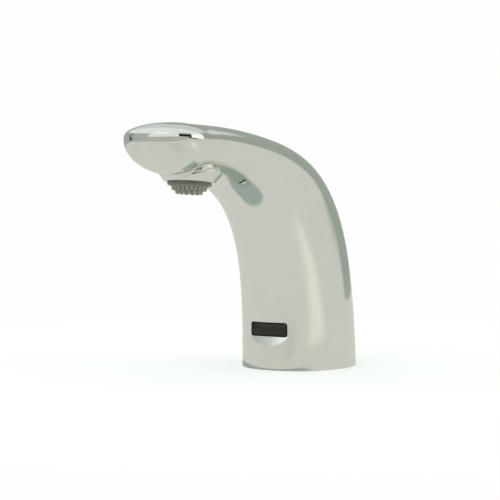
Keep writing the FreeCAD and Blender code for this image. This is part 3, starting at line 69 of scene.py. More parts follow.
MERGE_GAP = 1e-5        # vertices closer than this are one
FINE_CREASE = 6.0       # degrees past which an edge on the sill stays crisp
BEVEL = 0.29            # 1 - cos 45 degrees: where a rounding's middle stands, as a share of its radius

Pair = tuple[float, float]
Triple = tuple[float, float, float]
Colour = Triple
BMesh = bmesh.types.BMesh
Vert = bmesh.types.BMVert
Edge = bmesh.types.BMEdge
Piece = bpy.types.Object


def linear(red: float, green: float, blue: float) -> Colour:
    """Turns a display colour into scene-linear light.

    Args:
        red: Red from 0 to 255.
        green: Green from 0 to 255.
        blue: Blue from 0 to 255.

    Returns:
        The three linear values, from 0 to 1.
    """
    def one(value: float) -> float:
        """One channel."""
        share = value / 255
        return share / 12.92 if share <= 0.04045 else ((share + 0.055) / 1.055) ** 2.4

    return one(red), one(green), one(blue)


# ---------------------------------------------------------------- smooth lines
class SmoothLine:
    """A smooth curve of several values through given marks."""

    def __init__(self, marks: Sequence[float], values: Sequence[Sequence[float]]) -> None:
        """Fits the curve.

        Args:
            marks: Rising places at which the values are known.
            values: One tuple of values for each mark.
        """
        self.marks = list(marks)
        self.columns = [list(column) for column in zip(*values)]
        self.slopes = [self._fit(column) for column in self.columns]

    def _end_slope(self, places: Sequence[float], values: Sequence[float]) -> float:
        """Slope at the first place of the polynomial through all of them.

        Args:
            places: The places.
            values: The value at each.

        Returns:
            The slope.
        """
        slope = 0.0
        for i, value in enumerate(values):
            if i == 0:
                slope += value * sum(1 / (places[0] - p) for p in places[1:])
                continue
            term = value / (places[i] - places[0])
            for j in range(1, len(places)):
                if j != i:
                    term *= (places[0] - places[j]) / (places[i] - places[j])
            slope += term
        return slope

    def _fit(self, column: Sequence[float]) -> list[float]:
        """Finds the slopes at the marks that make the curve's bend continuous.

        Args:
            column: One value for each mark.

        Returns:
            One slope for each mark.
        """
        marks, count = self.marks, len(column)
        first = self._end_slope(marks[:4], column[:4])
        last = self._end_slope(marks[:-5:-1], column[:-5:-1])
        gaps = [b - a for a, b in zip(marks, marks[1:])]
        rises = [(b - a) / gap for a, b, gap in zip(column, column[1:], gaps)]
        ratio, carried = [0.0], [first]
        for i in range(1, count - 1):
            before, after = 1 / gaps[i - 1], 1 / gaps[i]
            right = 3 * (rises[i - 1] * before + rises[i] * after)
            pivot = 2 * (before + after) - before * ratio[-1]
            ratio.append(after / pivot)
            carried.append((right - before * carried[-1]) / pivot)
        slopes = [0.0] * count
        slopes[-1] = last
        for i in range(count - 2, 0, -1):
            slopes[i] = carried[i] - ratio[i] * slopes[i + 1]
        slopes[0] = first
        return slopes

    def at(self, mark: float) -> list[float]:
        """Reads the curve.

        Args:
            mark: A place along it.

        Returns:
            The values there.
        """
        i = min(max(bisect_right(self.marks, mark) - 1, 0), len(self.marks) - 2)
        gap = self.marks[i + 1] - self.marks[i]
        u = (mark - self.marks[i]) / gap
        h00, h10 = (1 + 2 * u) * (1 - u) ** 2, u * (1 - u) ** 2 * gap
        h01, h11 = u * u * (3 - 2 * u), u * u * (u - 1) * gap
        return [h00 * c[i] + h10 * s[i] + h01 * c[i + 1] + h11 * s[i + 1]
                for c, s in zip(self.columns, self.slopes)]


def smooth_round(points: Sequence[Vector], count: int) -> list[Vector]:
    """Passes a smooth closed curve through evenly marked points.

    Args:
        points: The points, in order.
        count: How many points are wanted on the curve.

    Returns:
        The new points, which start half a step before the first given point.
    """
    total = len(points)
    decay = math.sqrt(3) - 2
    weights = [math.sqrt(3) * decay ** abs(j) for j in range(-10, 11)]
    poles = [sum((points[(k + j) % total] * w for j, w in zip(range(-10, 11), weights)), Vector())
             for k in range(total)]
    out = []
    for n in range(count):
        place = n / count * total - 0.5
        k = math.floor(place)
        u = place - k
        basis = ((1 - u) ** 3 / 6, (3 * u ** 3 - 6 * u * u + 4) / 6,
                 (-3 * u ** 3 + 3 * u * u + 3 * u + 1) / 6, u ** 3 / 6)
        out.append(sum((poles[(k - 1 + j) % total] * b for j, b in enumerate(basis)), Vector()))
    return out


# ---------------------------------------------------------------- form of the casting
@dataclass(frozen=True)
class Section:
    """One outline of the spout, from its under side to its back; both are (y, z)."""

    back: Pair
    under: Pair
    half_width: float
    wide_at: float
    squareness: float
    wall: float

    def middle(self) -> Pair:
        """The point half way from the under side to the back."""
        return (self.back[0] + self.under[0]) / 2, (self.back[1] + self.under[1]) / 2


@dataclass
class SpoutForm:
    """The casting's outer form and cavity, on smooth lines through a few sections.

    Foot, head, height and reach match the CAD. The neck is wider and flatter, as the reflections ask.
    """

    foot_depth: float = 70.5
    foot_width: float = 64.5
    reach: float = 109.0
    top: float = 138.5
    head_depth: float = 31.0
    nose_length: float = 36.5
    nose_drop: float = 7.5
    nose_plan_power: float = 3.5
    nose_side_power: float = 2.1
    head_places: Triple = (25.0, 5.0, -15.0)
    head_half_widths: Triple = (26.2, 25.4, 24.6)
    top_falls: Triple = (1.1, 0.2, 0.0)
    belly_rise: float = 3.5
    belly_fall: float = 4.1
    column_levels: Triple = (11.0, 25.0, 50.0)
    back_leans: Triple = (1.45, 3.25, 5.7)
    front_leans: Triple = (-0.45, -0.7, 2.3)
    column_swells: Triple = (0.15, 0.15, -0.7)
    arch_back: tuple[Pair, ...] = ((17.5, 91.2), (-3.4, 114.3), (-29.0, 127.0), (-55.5, 133.7))
    arch_under: tuple[Pair, ...] = ((-45.5, 70.3), (-51.8, 80.8), (-59.0, 90.9), (-69.4, 99.4))
    arch_half_widths: tuple[float, ...] = (29.7, 28.8, 28.5, 27.5)
    arch_widest_at: tuple[float, ...] = (0.54, 0.62, 0.69, 0.71)
    arch_share: tuple[float, ...] = (0.15, 0.45, 0.75, 0.95)
    widest_at: float = 0.68
    column_squareness: float = 2.18
    top_squareness: float = 2.2
    walls: tuple[float, float, float, float] = (5.5, 3.8, 2.8, 2.3)
    points_round: int = 32
    row_spacing: float = 7.0
    nose_turns: tuple[float, ...] = (11.25, 22.5, 33.75, 45.0, 56.25, 67.5, 78.75)
    marks: list[float] = field(init=False)
    line: SmoothLine = field(init=False)

    def __post_init__(self) -> None:
        """Fits the smooth lines."""
        given = self._column() + self._arch() + self._head()
        self.marks = [0.0]
        for last, here in zip(given, given[1:]):
            self.marks.append(self.marks[-1] + math.dist(last.middle(), here.middle()))
        table = [(*s.back, *s.under, s.half_width, s.wide_at, s.squareness, s.wall) for s in given]
        self.line = SmoothLine(self.marks, table)

    def _column(self) -> list[Section]:
        """Lays out the column.

        Returns:
            Its level sections, from the foot up.
        """
        deep, wide = self.foot_depth / 2, self.foot_width / 2
        foot_wall, column_wall = self.walls[:2]
        made = [Section((deep, 0), (-deep, 0), wide, 0.5, self.column_squareness, foot_wall)]
        for level, back, front, swell in zip(self.column_levels, self.back_leans, self.front_leans,
                                             self.column_swells):
            wall = foot_wall + (column_wall - foot_wall) * level / self.column_levels[-1]
            made.append(Section((deep - back, level), (-deep - front, level), wide + swell, 0.5,
                                self.column_squareness, wall))
        return made

    def _arch(self) -> list[Section]:
        """Lays out the arch.

        Returns:
            The sections that fan round it.
        """
        rise = self.top_squareness - self.column_squareness
        table = zip(self.arch_back, self.arch_under, self.arch_half_widths, self.arch_widest_at,
                    self.arch_share)
        return [Section(back, under, width, widest_at, self.column_squareness + rise * share, self.walls[2])
                for back, under, width, widest_at, share in table]

    def _head(self) -> list[Section]:
        """Lays out the head.

        Returns:
            Its upright sections, up to where the nose starts to close.
        """
        belly = self.top - self.head_depth + self.belly_rise
        walls = (self.walls[2], self.walls[3], self.walls[3])
        falls = (self.belly_fall, 0.0, 0.0)
        return [Section((place - self.reach, self.top - top_fall), (place - self.reach, belly - belly_fall),
                        width, self.widest_at, self.top_squareness, wall)
                for place, top_fall, belly_fall, width, wall
                in zip(self.head_places, self.top_falls, falls, self.head_half_widths, walls)]

    def section(self, mark: float) -> Section:
        """The section at a distance along the spout."""
        by, bz, uy, uz, width, wide_at, squareness, wall = self.line.at(mark)
        return Section((by, bz), (uy, uz), width, wide_at, squareness, wall)

    def outline(self, section: Section, inset: float) -> list[Vector]:
        """Lays points round a section.

        Args:
            section: The section.
            inset: How many times its wall the points are drawn in.

        Returns:
            The points, in order.
        """
        draw_in = inset * section.wall
        under = Vector((0, *section.under))
        across = Vector((0, *section.back)) - under
        height = across.length
        up = across / height
        above = height * (1 - section.wide_at) - draw_in
        below = height * section.wide_at - draw_in
        points = []
        for k in range(self.points_round):
            angle = 2 * math.pi * (k + 0.5) / self.points_round
            c, s = math.cos(angle), math.sin(angle)
            power = 2 / (section.squareness if s > 0 else self.column_squareness)
            x = (section.half_width - draw_in) * math.copysign(abs(c) ** power, c)
            rise = (above if s > 0 else below) * math.copysign(abs(s) ** power, s)
            points.append(Vector((x, 0, 0)) + under + up * (height * section.wide_at + rise))
        return points

    def _nose(self, inset: float) -> tuple[list[float], list[list[Vector]], float, Vector]:
        """Closes the head.

        Args:
            inset: 0 for the outer face, 1 for the cavity.

        Returns:
            Marks and outlines of the closing rows, and the mark and place of the tip.
        """
        last = self.section(self.marks[-1])
        draw_in = inset * last.wall
        length = self.reach + self.nose_length + last.back[0] - draw_in
        height = last.back[1] - last.under[1]
        widest = last.under[1] + height * last.wide_at
        above, below = height * (1 - last.wide_at) - draw_in, height * last.wide_at - draw_in
        tip_z = self.top - self.nose_drop
        marks, rows = [], []
        for turn in self.nose_turns:
            share = math.sin(math.radians(turn))
            plan = math.sqrt(1 - share ** self.nose_plan_power)
            side = math.sqrt(1 - share ** self.nose_side_power)
            y = last.back[0] - length * share
            level = widest + (tip_z - widest) * share
            row = Section((y, level + above * side), (y, level - below * side),
                          (last.half_width - draw_in) * plan, below / (above + below), last.squareness, 0.0)
            marks.append(self.marks[-1] + length * math.radians(turn))
            rows.append(self.outline(row, 0))
        return marks, rows, self.marks[-1] + length * math.pi / 2, Vector((0, last.back[0] - length, tip_z))

    def skin(self, inset: float, start: float, spacing: float,
             around: int) -> tuple[list[list[Vector]], Vector]:
        """Lays fine rows of points over the form, from the foot to the nose.

        Args:
            inset: 0 for the outer face, 1 for the cavity.
            start: Distance along the spout of the first row.
            spacing: Distance between rows of the column and the arch; the nose's are twice as close.
            around: Points in each row.

        Returns:
            The rows, and the tip of the nose.
        """
        count = round(self.marks[-1] / self.row_spacing)
        marks = [self.marks[-1] * k / count for k in range(count + 1)]
        rows = [self.outline(self.section(mark), inset) for mark in marks]
        nose_marks, nose_rows, end, tip = self._nose(inset)
        table = [[value for point in row for value in point] for row in rows + nose_rows]
        line = SmoothLine(marks + nose_marks + [end], table + [list(tip) * self.points_round])
        head_start = self.marks[-1] - 2 * self.row_spacing
        wanted = [start]
        while wanted[-1] + spacing < head_start:
            wanted.append(wanted[-1] + spacing)
        steps = math.ceil((end - wanted[-1]) / (spacing / 2))
        wanted += [wanted[-1] + (end - wanted[-1]) * k / steps for k in range(1, steps)]
        made = []
        for mark in wanted:
            flat = line.at(mark)
            points = [Vector(flat[k:k + 3]) for k in range(0, len(flat), 3)]
            made.append(smooth_round(points, around))
        return made, tip

    def front_y(self, x: float, z: float) -> float:
        """Finds the front skin of the column.

        Args:
            x: A place across.
            z: A height.

        Returns:
            The skin's Y there.
        """
        low, high = self.marks[0], self.marks[3]
        for _ in range(40):
            mark = (low + high) / 2
            if self.section(mark).under[1] < z:
                low = mark
            else:
                high = mark
        here = self.section(low)
        middle = here.middle()[0]
        n = self.column_squareness
        fall = (1 - (abs(x) / here.half_width) ** n) ** (1 / n)
        return middle - (middle - here.under[0]) * fall


@dataclass(frozen=True)
class OutletAxis:
    """The axis of the outlet: T runs up it from the rim of the boss."""

    reach: float = 109.0
    height: float = 107.5
    tilt: float = 4.5

    def matrix(self) -> Matrix:
        """From the outlet's own axes to the CAD frame, in millimetres."""
        turn = Matrix.Rotation(math.radians(-self.tilt), 4, "X")
        return Matrix.Translation((0, -self.reach, self.height)) @ turn

    def polar(self, point: Vector) -> Triple:
        """A point's angle, radius and height about the axis."""
        here = self.matrix().inverted() @ point
        return math.atan2(here.y, here.x), math.hypot(here.x, here.y), here.z

    def point(self, angle: float, radius: float, height: float) -> Vector:
        """A point from its angle, radius and height about the axis."""
        return self.matrix() @ Vector((radius * math.cos(angle), radius * math.sin(angle), height))


# ---------------------------------------------------------------- mesh helpers
def ring(bm: BMesh, points: Sequence[Vector]) -> list[Vert]:
    """Adds one closed row of points.

    Args:
        bm: The mesh that is being built.
        points: Where the row's points go.

    Returns:
        The row's vertices, in order.
    """
    verts = bmesh.ops.create_circle(bm, cap_ends=False, radius=1.0, segments=len(points))["verts"]
    for vert, point in zip(verts, points):
        vert.co = point
    return verts


def ring_edges(verts: Sequence[Vert]) -> list[Edge]:
    """The edges that join a row's vertices to each other."""
    own = set(verts)
    return list({edge for vert in verts for edge in vert.link_edges if edge.other_vert(vert) in own})


def bridge(bm: BMesh, rows: Sequence[Sequence[Vert]]) -> None:
    """Joins each row to the next with faces.

    Args:
        bm: The mesh that is being built.
        rows: The rows, in order.
    """
    edges = [ring_edges(row) for row in rows]
    for low, high in zip(edges, edges[1:]):
        bmesh.ops.bridge_loops(bm, edges=low + high)


def cap(bm: BMesh, row: Sequence[Vert], tip: Vector | None = None) -> None:
    """Closes a row.

    Args:
        bm: The mesh that is being built.
        row: The row's vertices.
        tip: Where the closing is drawn to; left out, it is flat.
    """
    face = bmesh.ops.edgeloop_fill(bm, edges=ring_edges(row))["faces"]
    if tip is not None:
        bmesh.ops.poke(bm, faces=face)["verts"][0].co = tip


def prism(points: Sequence[Sequence[Vector]]) -> BMesh:
    """Makes a closed body through rows of points.

    Args:
        points: The rows; the first and last become flat ends.

    Returns:
        The new mesh.
    """
    bm = bmesh.new()
    rows = [ring(bm, row) for row in points]
    bridge(bm, rows)
    for row in (rows[0], rows[-1]):
        cap(bm, row)
    return bm


def lathe(bm: BMesh, profile: Sequence[Pair], steps: int, centre: Pair = (0.0, 0.0)) -> None:
    """Turns a profile about an upright axis.

    Args:
        bm: The mesh that is being built.
        profile: Its corners, as (radius, height).
        steps: Faces round the axis.
        centre: Where the axis stands.
    """
    verts = [bm.verts.new((centre[0] + r, centre[1], t)) for r, t in profile]
    edges = [bm.edges.new(pair) for pair in zip(verts, verts[1:])]
    if profile[0][0] > 0:
        edges.append(bm.edges.new((verts[-1], verts[0])))
    bmesh.ops.spin(bm, geom=verts + edges, cent=(*centre, 0.0), axis=(0, 0, 1), angle=2 * math.pi,
                   steps=steps, use_merge=True)


def rounded(profile: Sequence[Pair], radii: Sequence[float], steps: int = 3) -> list[Pair]:
    """Rounds the corners of an open or closed profile.

    Args:
        profile: The corners, as (radius, height).
        radii: How far each corner is cut back; 0 leaves it sharp.
        steps: How many spans each rounding has.

    Returns:
        The finer profile.
    """
    out: list[Pair] = []
    last = len(profile) - 1
    for i, (corner, cut) in enumerate(zip(profile, radii)):
        if not cut:
            out.append(corner)
            continue
        here = Vector(corner)
        before, after = Vector(profile[i - 1]), Vector(profile[i + 1 if i < last else 0])
        start = here + (before - here).normalized() * cut
        end = here + (after - here).normalized() * cut
        for k in range(steps + 1):
            u = k / steps
            point = start * (1 - u) ** 2 + here * (2 * u * (1 - u)) + end * u ** 2
            out.append((point.x, point.y))
    return out


def rounded_rectangle(half_width: float, half_height: float, corner: float, y: float, z: float,
                      steps: int = 8) -> list[Vector]:
    """Lays points round a rectangle with round corners that stands square to Y.

    Args:
        half_width: Half its width.
        half_height: Half its height.
        corner: Radius of its corners.
        y: Where it stands.
        z: Height of its middle.
        steps: Spans in each corner.

    Returns:
        The points, in order.
    """
    points = []
    for k, (sx, sz) in enumerate(((1, 1), (-1, 1), (-1, -1), (1, -1))):
        for i in range(steps + 1):
            angle = math.pi / 2 * (k + i / steps)
            points.append(Vector((sx * (half_width - corner) + corner * math.cos(angle), y,
                                  z + sz * (half_height - corner) + corner * math.sin(angle))))
    return points


def finish_mesh(bm: BMesh, name: str, sharp: float = 32.0, scale: float = MM,
                crisp: Callable[[Vector], bool] | None = None) -> Piece:
    """Cleans a mesh, shades it smooth between its sharp edges and puts it in the scene.

    Args:
        bm: The finished mesh, which is used up.
        name: The piece's name.
        sharp: Edges that turn more than this many degrees stay crisp.
        scale: From the mesh's unit to metres.
        crisp: Tells, for an edge's middle, where the finer FINE_CREASE holds.

    Returns:
        The new object.
    """
    bmesh.ops.remove_doubles(bm, verts=bm.verts[:], dist=MERGE_GAP)
    bmesh.ops.recalc_face_normals(bm, faces=bm.faces[:])
    for face in bm.faces:
        face.smooth = True
    for edge in bm.edges:
        middle = (edge.verts[0].co + edge.verts[1].co) / 2
        limit = math.radians(FINE_CREASE if crisp and crisp(middle) else sharp)
        edge.smooth = len(edge.link_faces) == 2 and edge.calc_face_angle(0.0) < limit
    bmesh.ops.scale(bm, vec=(scale,) * 3, verts=bm.verts[:])
    mesh = bpy.data.meshes.new(name)
    bm.to_mesh(mesh)
    bm.free()
    piece = bpy.data.objects.new(name, mesh)
    bpy.context.scene.collection.objects.link(piece)
    return piece


def carved(body: Piece, tools: Sequence[Piece]) -> BMesh:
    """Cuts tools out of a body.

    Args:
        body: The body, which is used up.
        tools: The tools, which are used up too.

    Returns:
        What is left of the body.
    """
    for tool in tools:
        cut = body.modifiers.new(tool.name, "BOOLEAN")
        cut.operation = "DIFFERENCE"
        cut.solver = "EXACT"
        cut.object = tool
    graph = bpy.context.evaluated_depsgraph_get()
    result = bpy.data.meshes.new_from_object(body.evaluated_get(graph))
    bm = bmesh.new()
    bm.from_mesh(result)
    for used in (body, *tools):
        mesh = used.data
        bpy.data.objects.remove(used)
        bpy.data.meshes.remove(mesh)
    bpy.data.meshes.remove(result)
    return bm


# ---------------------------------------------------------------- shader helpers
class Wire:
    """A shader value, with sums written as ordinary operators."""

    def __init__(self, shader: "Shader", socket: bpy.types.NodeSocket) -> None:
        """Keeps the socket and the tree it belongs to."""
        self.shader = shader
        self.socket = socket

    def maths(self, operation: str, *others: "Wire | float", flipped: bool = False) -> "Wire":
        """Adds a Math node.

        Args:
            operation: What the node does.
            *others: Up to two more values.
            flipped: Whether the second value comes first.

        Returns:
            The node's value.
        """
        inputs = [self, *others]
        if flipped:
            inputs[0], inputs[1] = inputs[1], inputs[0]
        return self.shader.node("ShaderNodeMath", dict(enumerate(inputs)), operation=operation)

    def __add__(self, other: "Wire | float") -> "Wire":
        """Sum."""
        return self.maths("ADD", other)

    def __radd__(self, other: float) -> "Wire":
        """Sum with a number first."""
        return self.maths("ADD", other)

    def __sub__(self, other: "Wire | float") -> "Wire":
        """Difference."""
        return self.maths("SUBTRACT", other)

    def __rsub__(self, other: float) -> "Wire":
        """Difference with a number first."""
        return self.maths("SUBTRACT", other, flipped=True)

    def __mul__(self, other: "Wire | float") -> "Wire":
        """Product."""
        return self.maths("MULTIPLY", other)

    def __rmul__(self, other: float) -> "Wire":
        """Product with a number first."""
        return self.maths("MULTIPLY", other)

    def size(self) -> "Wire":
        """The value without its sign."""
        return self.maths("ABSOLUTE")

    def wrap(self, low: float, high: float) -> "Wire":
        """The value brought into a range that repeats."""
        return self.maths("WRAP", high, low)

    def ease(self, low: float, high: float, start: float = 0.0, end: float = 1.0) -> "Wire":
        """Goes softly from one value to another.

        Args:
            low: Where it starts.
            high: Where it ends.
            start: The value up to low.
            end: The value from high on.

        Returns:
            The eased value.
        """
        return self.shader.node("ShaderNodeMapRange", {0: self, 1: low, 2: high, 3: start, 4: end},
                                interpolation_type="SMOOTHSTEP")


class Shader:
    """Builds one node tree."""

    def __init__(self, tree: bpy.types.NodeTree) -> None:
        """Empties the tree and keeps it."""
        tree.nodes.clear()
        self.tree = tree

    def node(self, kind: str, inputs: dict | None = None, out: int | str = 0, **settings: object) -> Wire:
        """Adds any node.

        Args:
            kind: The node's type.
            inputs: What goes in each input: a Wire, or a plain value that is set on the socket.
            out: Which output is returned.
            **settings: The node's own settings.

        Returns:
            The chosen output.
        """
        made = self.tree.nodes.new(kind)
        for name, value in settings.items():
            setattr(made, name, value)
        for name, value in (inputs or {}).items():
            if isinstance(value, Wire):
                self.tree.links.new(value.socket, made.inputs[name])
            else:
                made.inputs[name].default_value = value
        return Wire(self, made.outputs[out]) if made.outputs else Wire(self, made.inputs[0])

    def place(self, stretch: Sequence[float] = (1, 1, 1)) -> Wire:
        """Object coordinates, stretched along the axes."""
        where = self.node("ShaderNodeTexCoord", out="Object")
        return self.node("ShaderNodeMapping", {"Vector": where, "Scale": tuple(stretch)})

    def noise(self, where: Wire, scale: float, detail: float = 3.0, rough: float = 0.5) -> Wire:
        """Soft noise around 0.5."""
        return self.node("ShaderNodeTexNoise", {"Vector": where, "Scale": scale, "Detail": detail,
                                                "Roughness": rough})

    def blend(self, share: Wire, first: Wire | Colour, second: Wire | Colour) -> Wire:
        """Mixes two colours.

        Args:
            share: How much of the second.
            first: The first colour.
            second: The second colour.

        Returns:
            The mixed colour.
        """
        def full(colour: Wire | Colour) -> Wire | tuple:
            """A colour as a socket takes it."""
            return colour if isinstance(colour, Wire) else (*colour, 1.0)

        return self.node("ShaderNodeMix", {0: share, 6: full(first), 7: full(second)}, out=2,
                         data_type="RGBA")

    def bump(self, height: Wire, depth: float) -> Wire:
        """A normal that follows a height; depth is in millimetres."""
        return self.node("ShaderNodeBump", {"Height": height, "Distance": depth * MM, "Strength": 1.0})


def own_shader(made: bpy.types.Material | bpy.types.World) -> Shader:
    """The emptied node tree of a new material or world."""
    made.use_nodes = True
    return Shader(made.node_tree)


class Texture(Enum):
    """How a finish's surface is broken up."""

    POLISHED = "polished"
    CAST = "cast"
    TURNED = "turned"
    MOULDED = "moulded"
    RUBBER = "rubber"
    WOUND = "wound"
    WOVEN = "woven"


@dataclass(frozen=True)
class Finish:
    """One finish. Colours are display values from 0 to 255."""

    name: str
    texture: Texture
    colour: Colour
    second: Colour
    metal: float = 0.0
    rough: float = 0.4
    rough_spread: float = 0.08
    grain: float = 400.0
    depth: float = 0.01
    coat: float = 0.0
    stretch: Triple = (1.0, 1.0, 1.0)

    def material(self) -> bpy.types.Material:
        """Makes the finish's material, once.

        Returns:
            The material.
        """
        known = bpy.data.materials.get(self.name)
        if known:
            return known
        made = bpy.data.materials.new(self.name)
        shader = own_shader(made)
        where = shader.place(self.stretch)
        broad = shader.noise(where, self.grain * 0.12, 2.0)
        fine = shader.noise(where, self.grain, 4.0, 0.6)
        share = broad.ease(0.3, 0.7) * 0.6 + fine.ease(0.35, 0.65) * 0.4
        height = self._height(shader, where, fine)
        roughness = (broad * 0.6 + fine * 0.4 - 0.5) * (2 * self.rough_spread) + self.rough
        surface = shader.node("ShaderNodeBsdfPrincipled", {
            "Base Color": shader.blend(share, linear(*self.colour), linear(*self.second)),
            "Metallic": self.metal,
            "Roughness": roughness,
            "Coat Weight": self.coat,
            "Coat Roughness": 0.06,
            "Normal": shader.bump(height, self.depth),
        })
        shader.node("ShaderNodeOutputMaterial", {"Surface": surface})
        return made

    def _height(self, shader: Shader, where: Wire, fine: Wire) -> Wire:
        """Builds the relief of the surface.

        Args:
            shader: The tree that is being built.
            where: Coordinates on the piece.
            fine: The finish's fine noise.

        Returns:
            The height, about 0 to 1.
        """
        if self.texture is Texture.TURNED:
            inputs = {"Vector": where, "Scale": self.grain, "Distortion": 0.6, "Detail": 1.0}
            rings = shader.node("ShaderNodeTexWave", inputs, bands_direction="Z", out=1)
            return rings * 0.6 + fine * 0.4
        if self.texture is Texture.WOUND:
            inputs = {"Vector": where, "Scale": 700.0, "Distortion": 0.15}
            turns = shader.node("ShaderNodeTexWave", inputs, bands_direction="Z", out=1)
            return turns * 0.85 + fine * 0.15
        if self.texture is Texture.WOVEN:
            warp, weft = (shader.node("ShaderNodeTexWave", {"Vector": where, "Scale": 500.0},
                                      bands_direction=way, out=1) for way in "XZ")
            return warp * weft * 0.7 + fine * 0.3
        if self.texture in (Texture.CAST, Texture.RUBBER):
            pits = shader.node("ShaderNodeTexVoronoi", {"Vector": where, "Scale": self.grain * 1.6})
            return pits * 0.4 + fine * 0.6
        return fine


CHROME = Finish("chrome", Texture.POLISHED, (238, 240, 236), (233, 235, 230), metal=1.0, rough=0.045,
                rough_spread=0.012, grain=90.0, depth=0.004)
COLLAR = Finish("collar_grey", Texture.MOULDED, (128, 126, 119), (114, 112, 106), rough=0.34,
                rough_spread=0.08, grain=900.0, depth=0.01)
SPRAY = Finish("spray_silicone", Texture.RUBBER, (178, 175, 167), (160, 158, 150), rough=0.5,
               rough_spread=0.1, grain=1200.0, depth=0.02)
WINDOW = Finish("window_acrylic", Texture.POLISHED, (30, 24, 16), (26, 21, 14), rough=0.12, rough_spread=0.03,
                grain=120.0, depth=0.002)
# Black on the raised border round the pane: the step is real, its black is painted shade for the dark gap
# round the window.
BORDER_SHADE = Finish("window_border_painted_shade", Texture.MOULDED, (10, 10, 9), (6, 6, 6), rough=0.7, rough_spread=0.1,
               grain=600.0, depth=0.01)

SLOT_FINISHES: dict[str, Finish] = {
    "chrome_casting": CHROME,
    "dark_collar": COLLAR,
    "spray_rubber": SPRAY,
    "window_plastic": WINDOW,
    "cast_brass": Finish("brass", Texture.TURNED, (214, 186, 118), (188, 156, 92), metal=1.0, rough=0.28,
                         grain=500.0, depth=0.006),
    "zinc_plate": Finish("zinc", Texture.CAST, (196, 199, 202), (172, 176, 182), metal=1.0, rough=0.36,
                         grain=700.0, depth=0.01),
    "stainless": Finish("stainless", Texture.TURNED, (204, 203, 200), (184, 183, 180), metal=1.0, rough=0.26,
                        grain=900.0, depth=0.004),
    "black_rubber": Finish("black_rubber", Texture.RUBBER, (42, 42, 42), (31, 31, 32), rough=0.62,
                           grain=1100.0, depth=0.03),
    "grey_plastic": Finish("grey_acetal", Texture.MOULDED, (150, 152, 154), (138, 140, 143), rough=0.42,
                           grain=800.0, depth=0.008),
    "black_plastic": Finish("black_nylon", Texture.MOULDED, (44, 44, 47), (34, 34, 37), rough=0.46,
                            grain=1000.0, depth=0.015),
    "white_plastic": Finish("white_acetal", Texture.MOULDED, (228, 227, 221), (214, 213, 206), rough=0.4,
                            grain=700.0, depth=0.008),
    "coil_tape": Finish("coil_tape", Texture.WOUND, (176, 104, 36), (150, 82, 26), rough=0.3, grain=500.0,
                        depth=0.06, coat=0.4),
    "board_green": Finish("board_mask", Texture.WOVEN, (38, 118, 66), (28, 98, 52), rough=0.33, grain=900.0,
                          depth=0.02, coat=0.2),
    "diode_clear": Finish("diode_tinted", Texture.POLISHED, (112, 98, 128), (100, 88, 118), rough=0.12,
                          rough_spread=0.03, grain=300.0, depth=0.002, coat=0.5),
    "diode_dark": Finish("diode_dark", Texture.POLISHED, (30, 30, 36), (24, 24, 29), rough=0.12,
                         rough_spread=0.03, grain=300.0, depth=0.002, coat=0.5),
    "copper_tube": Finish("copper", Texture.POLISHED, (208, 140, 110), (182, 112, 84), metal=1.0, rough=0.24,
                          grain=300.0, depth=0.006),
    "lead_jacket": Finish("lead_vinyl", Texture.RUBBER, (52, 52, 53), (42, 42, 43), rough=0.5, grain=900.0,
                          depth=0.015),
}


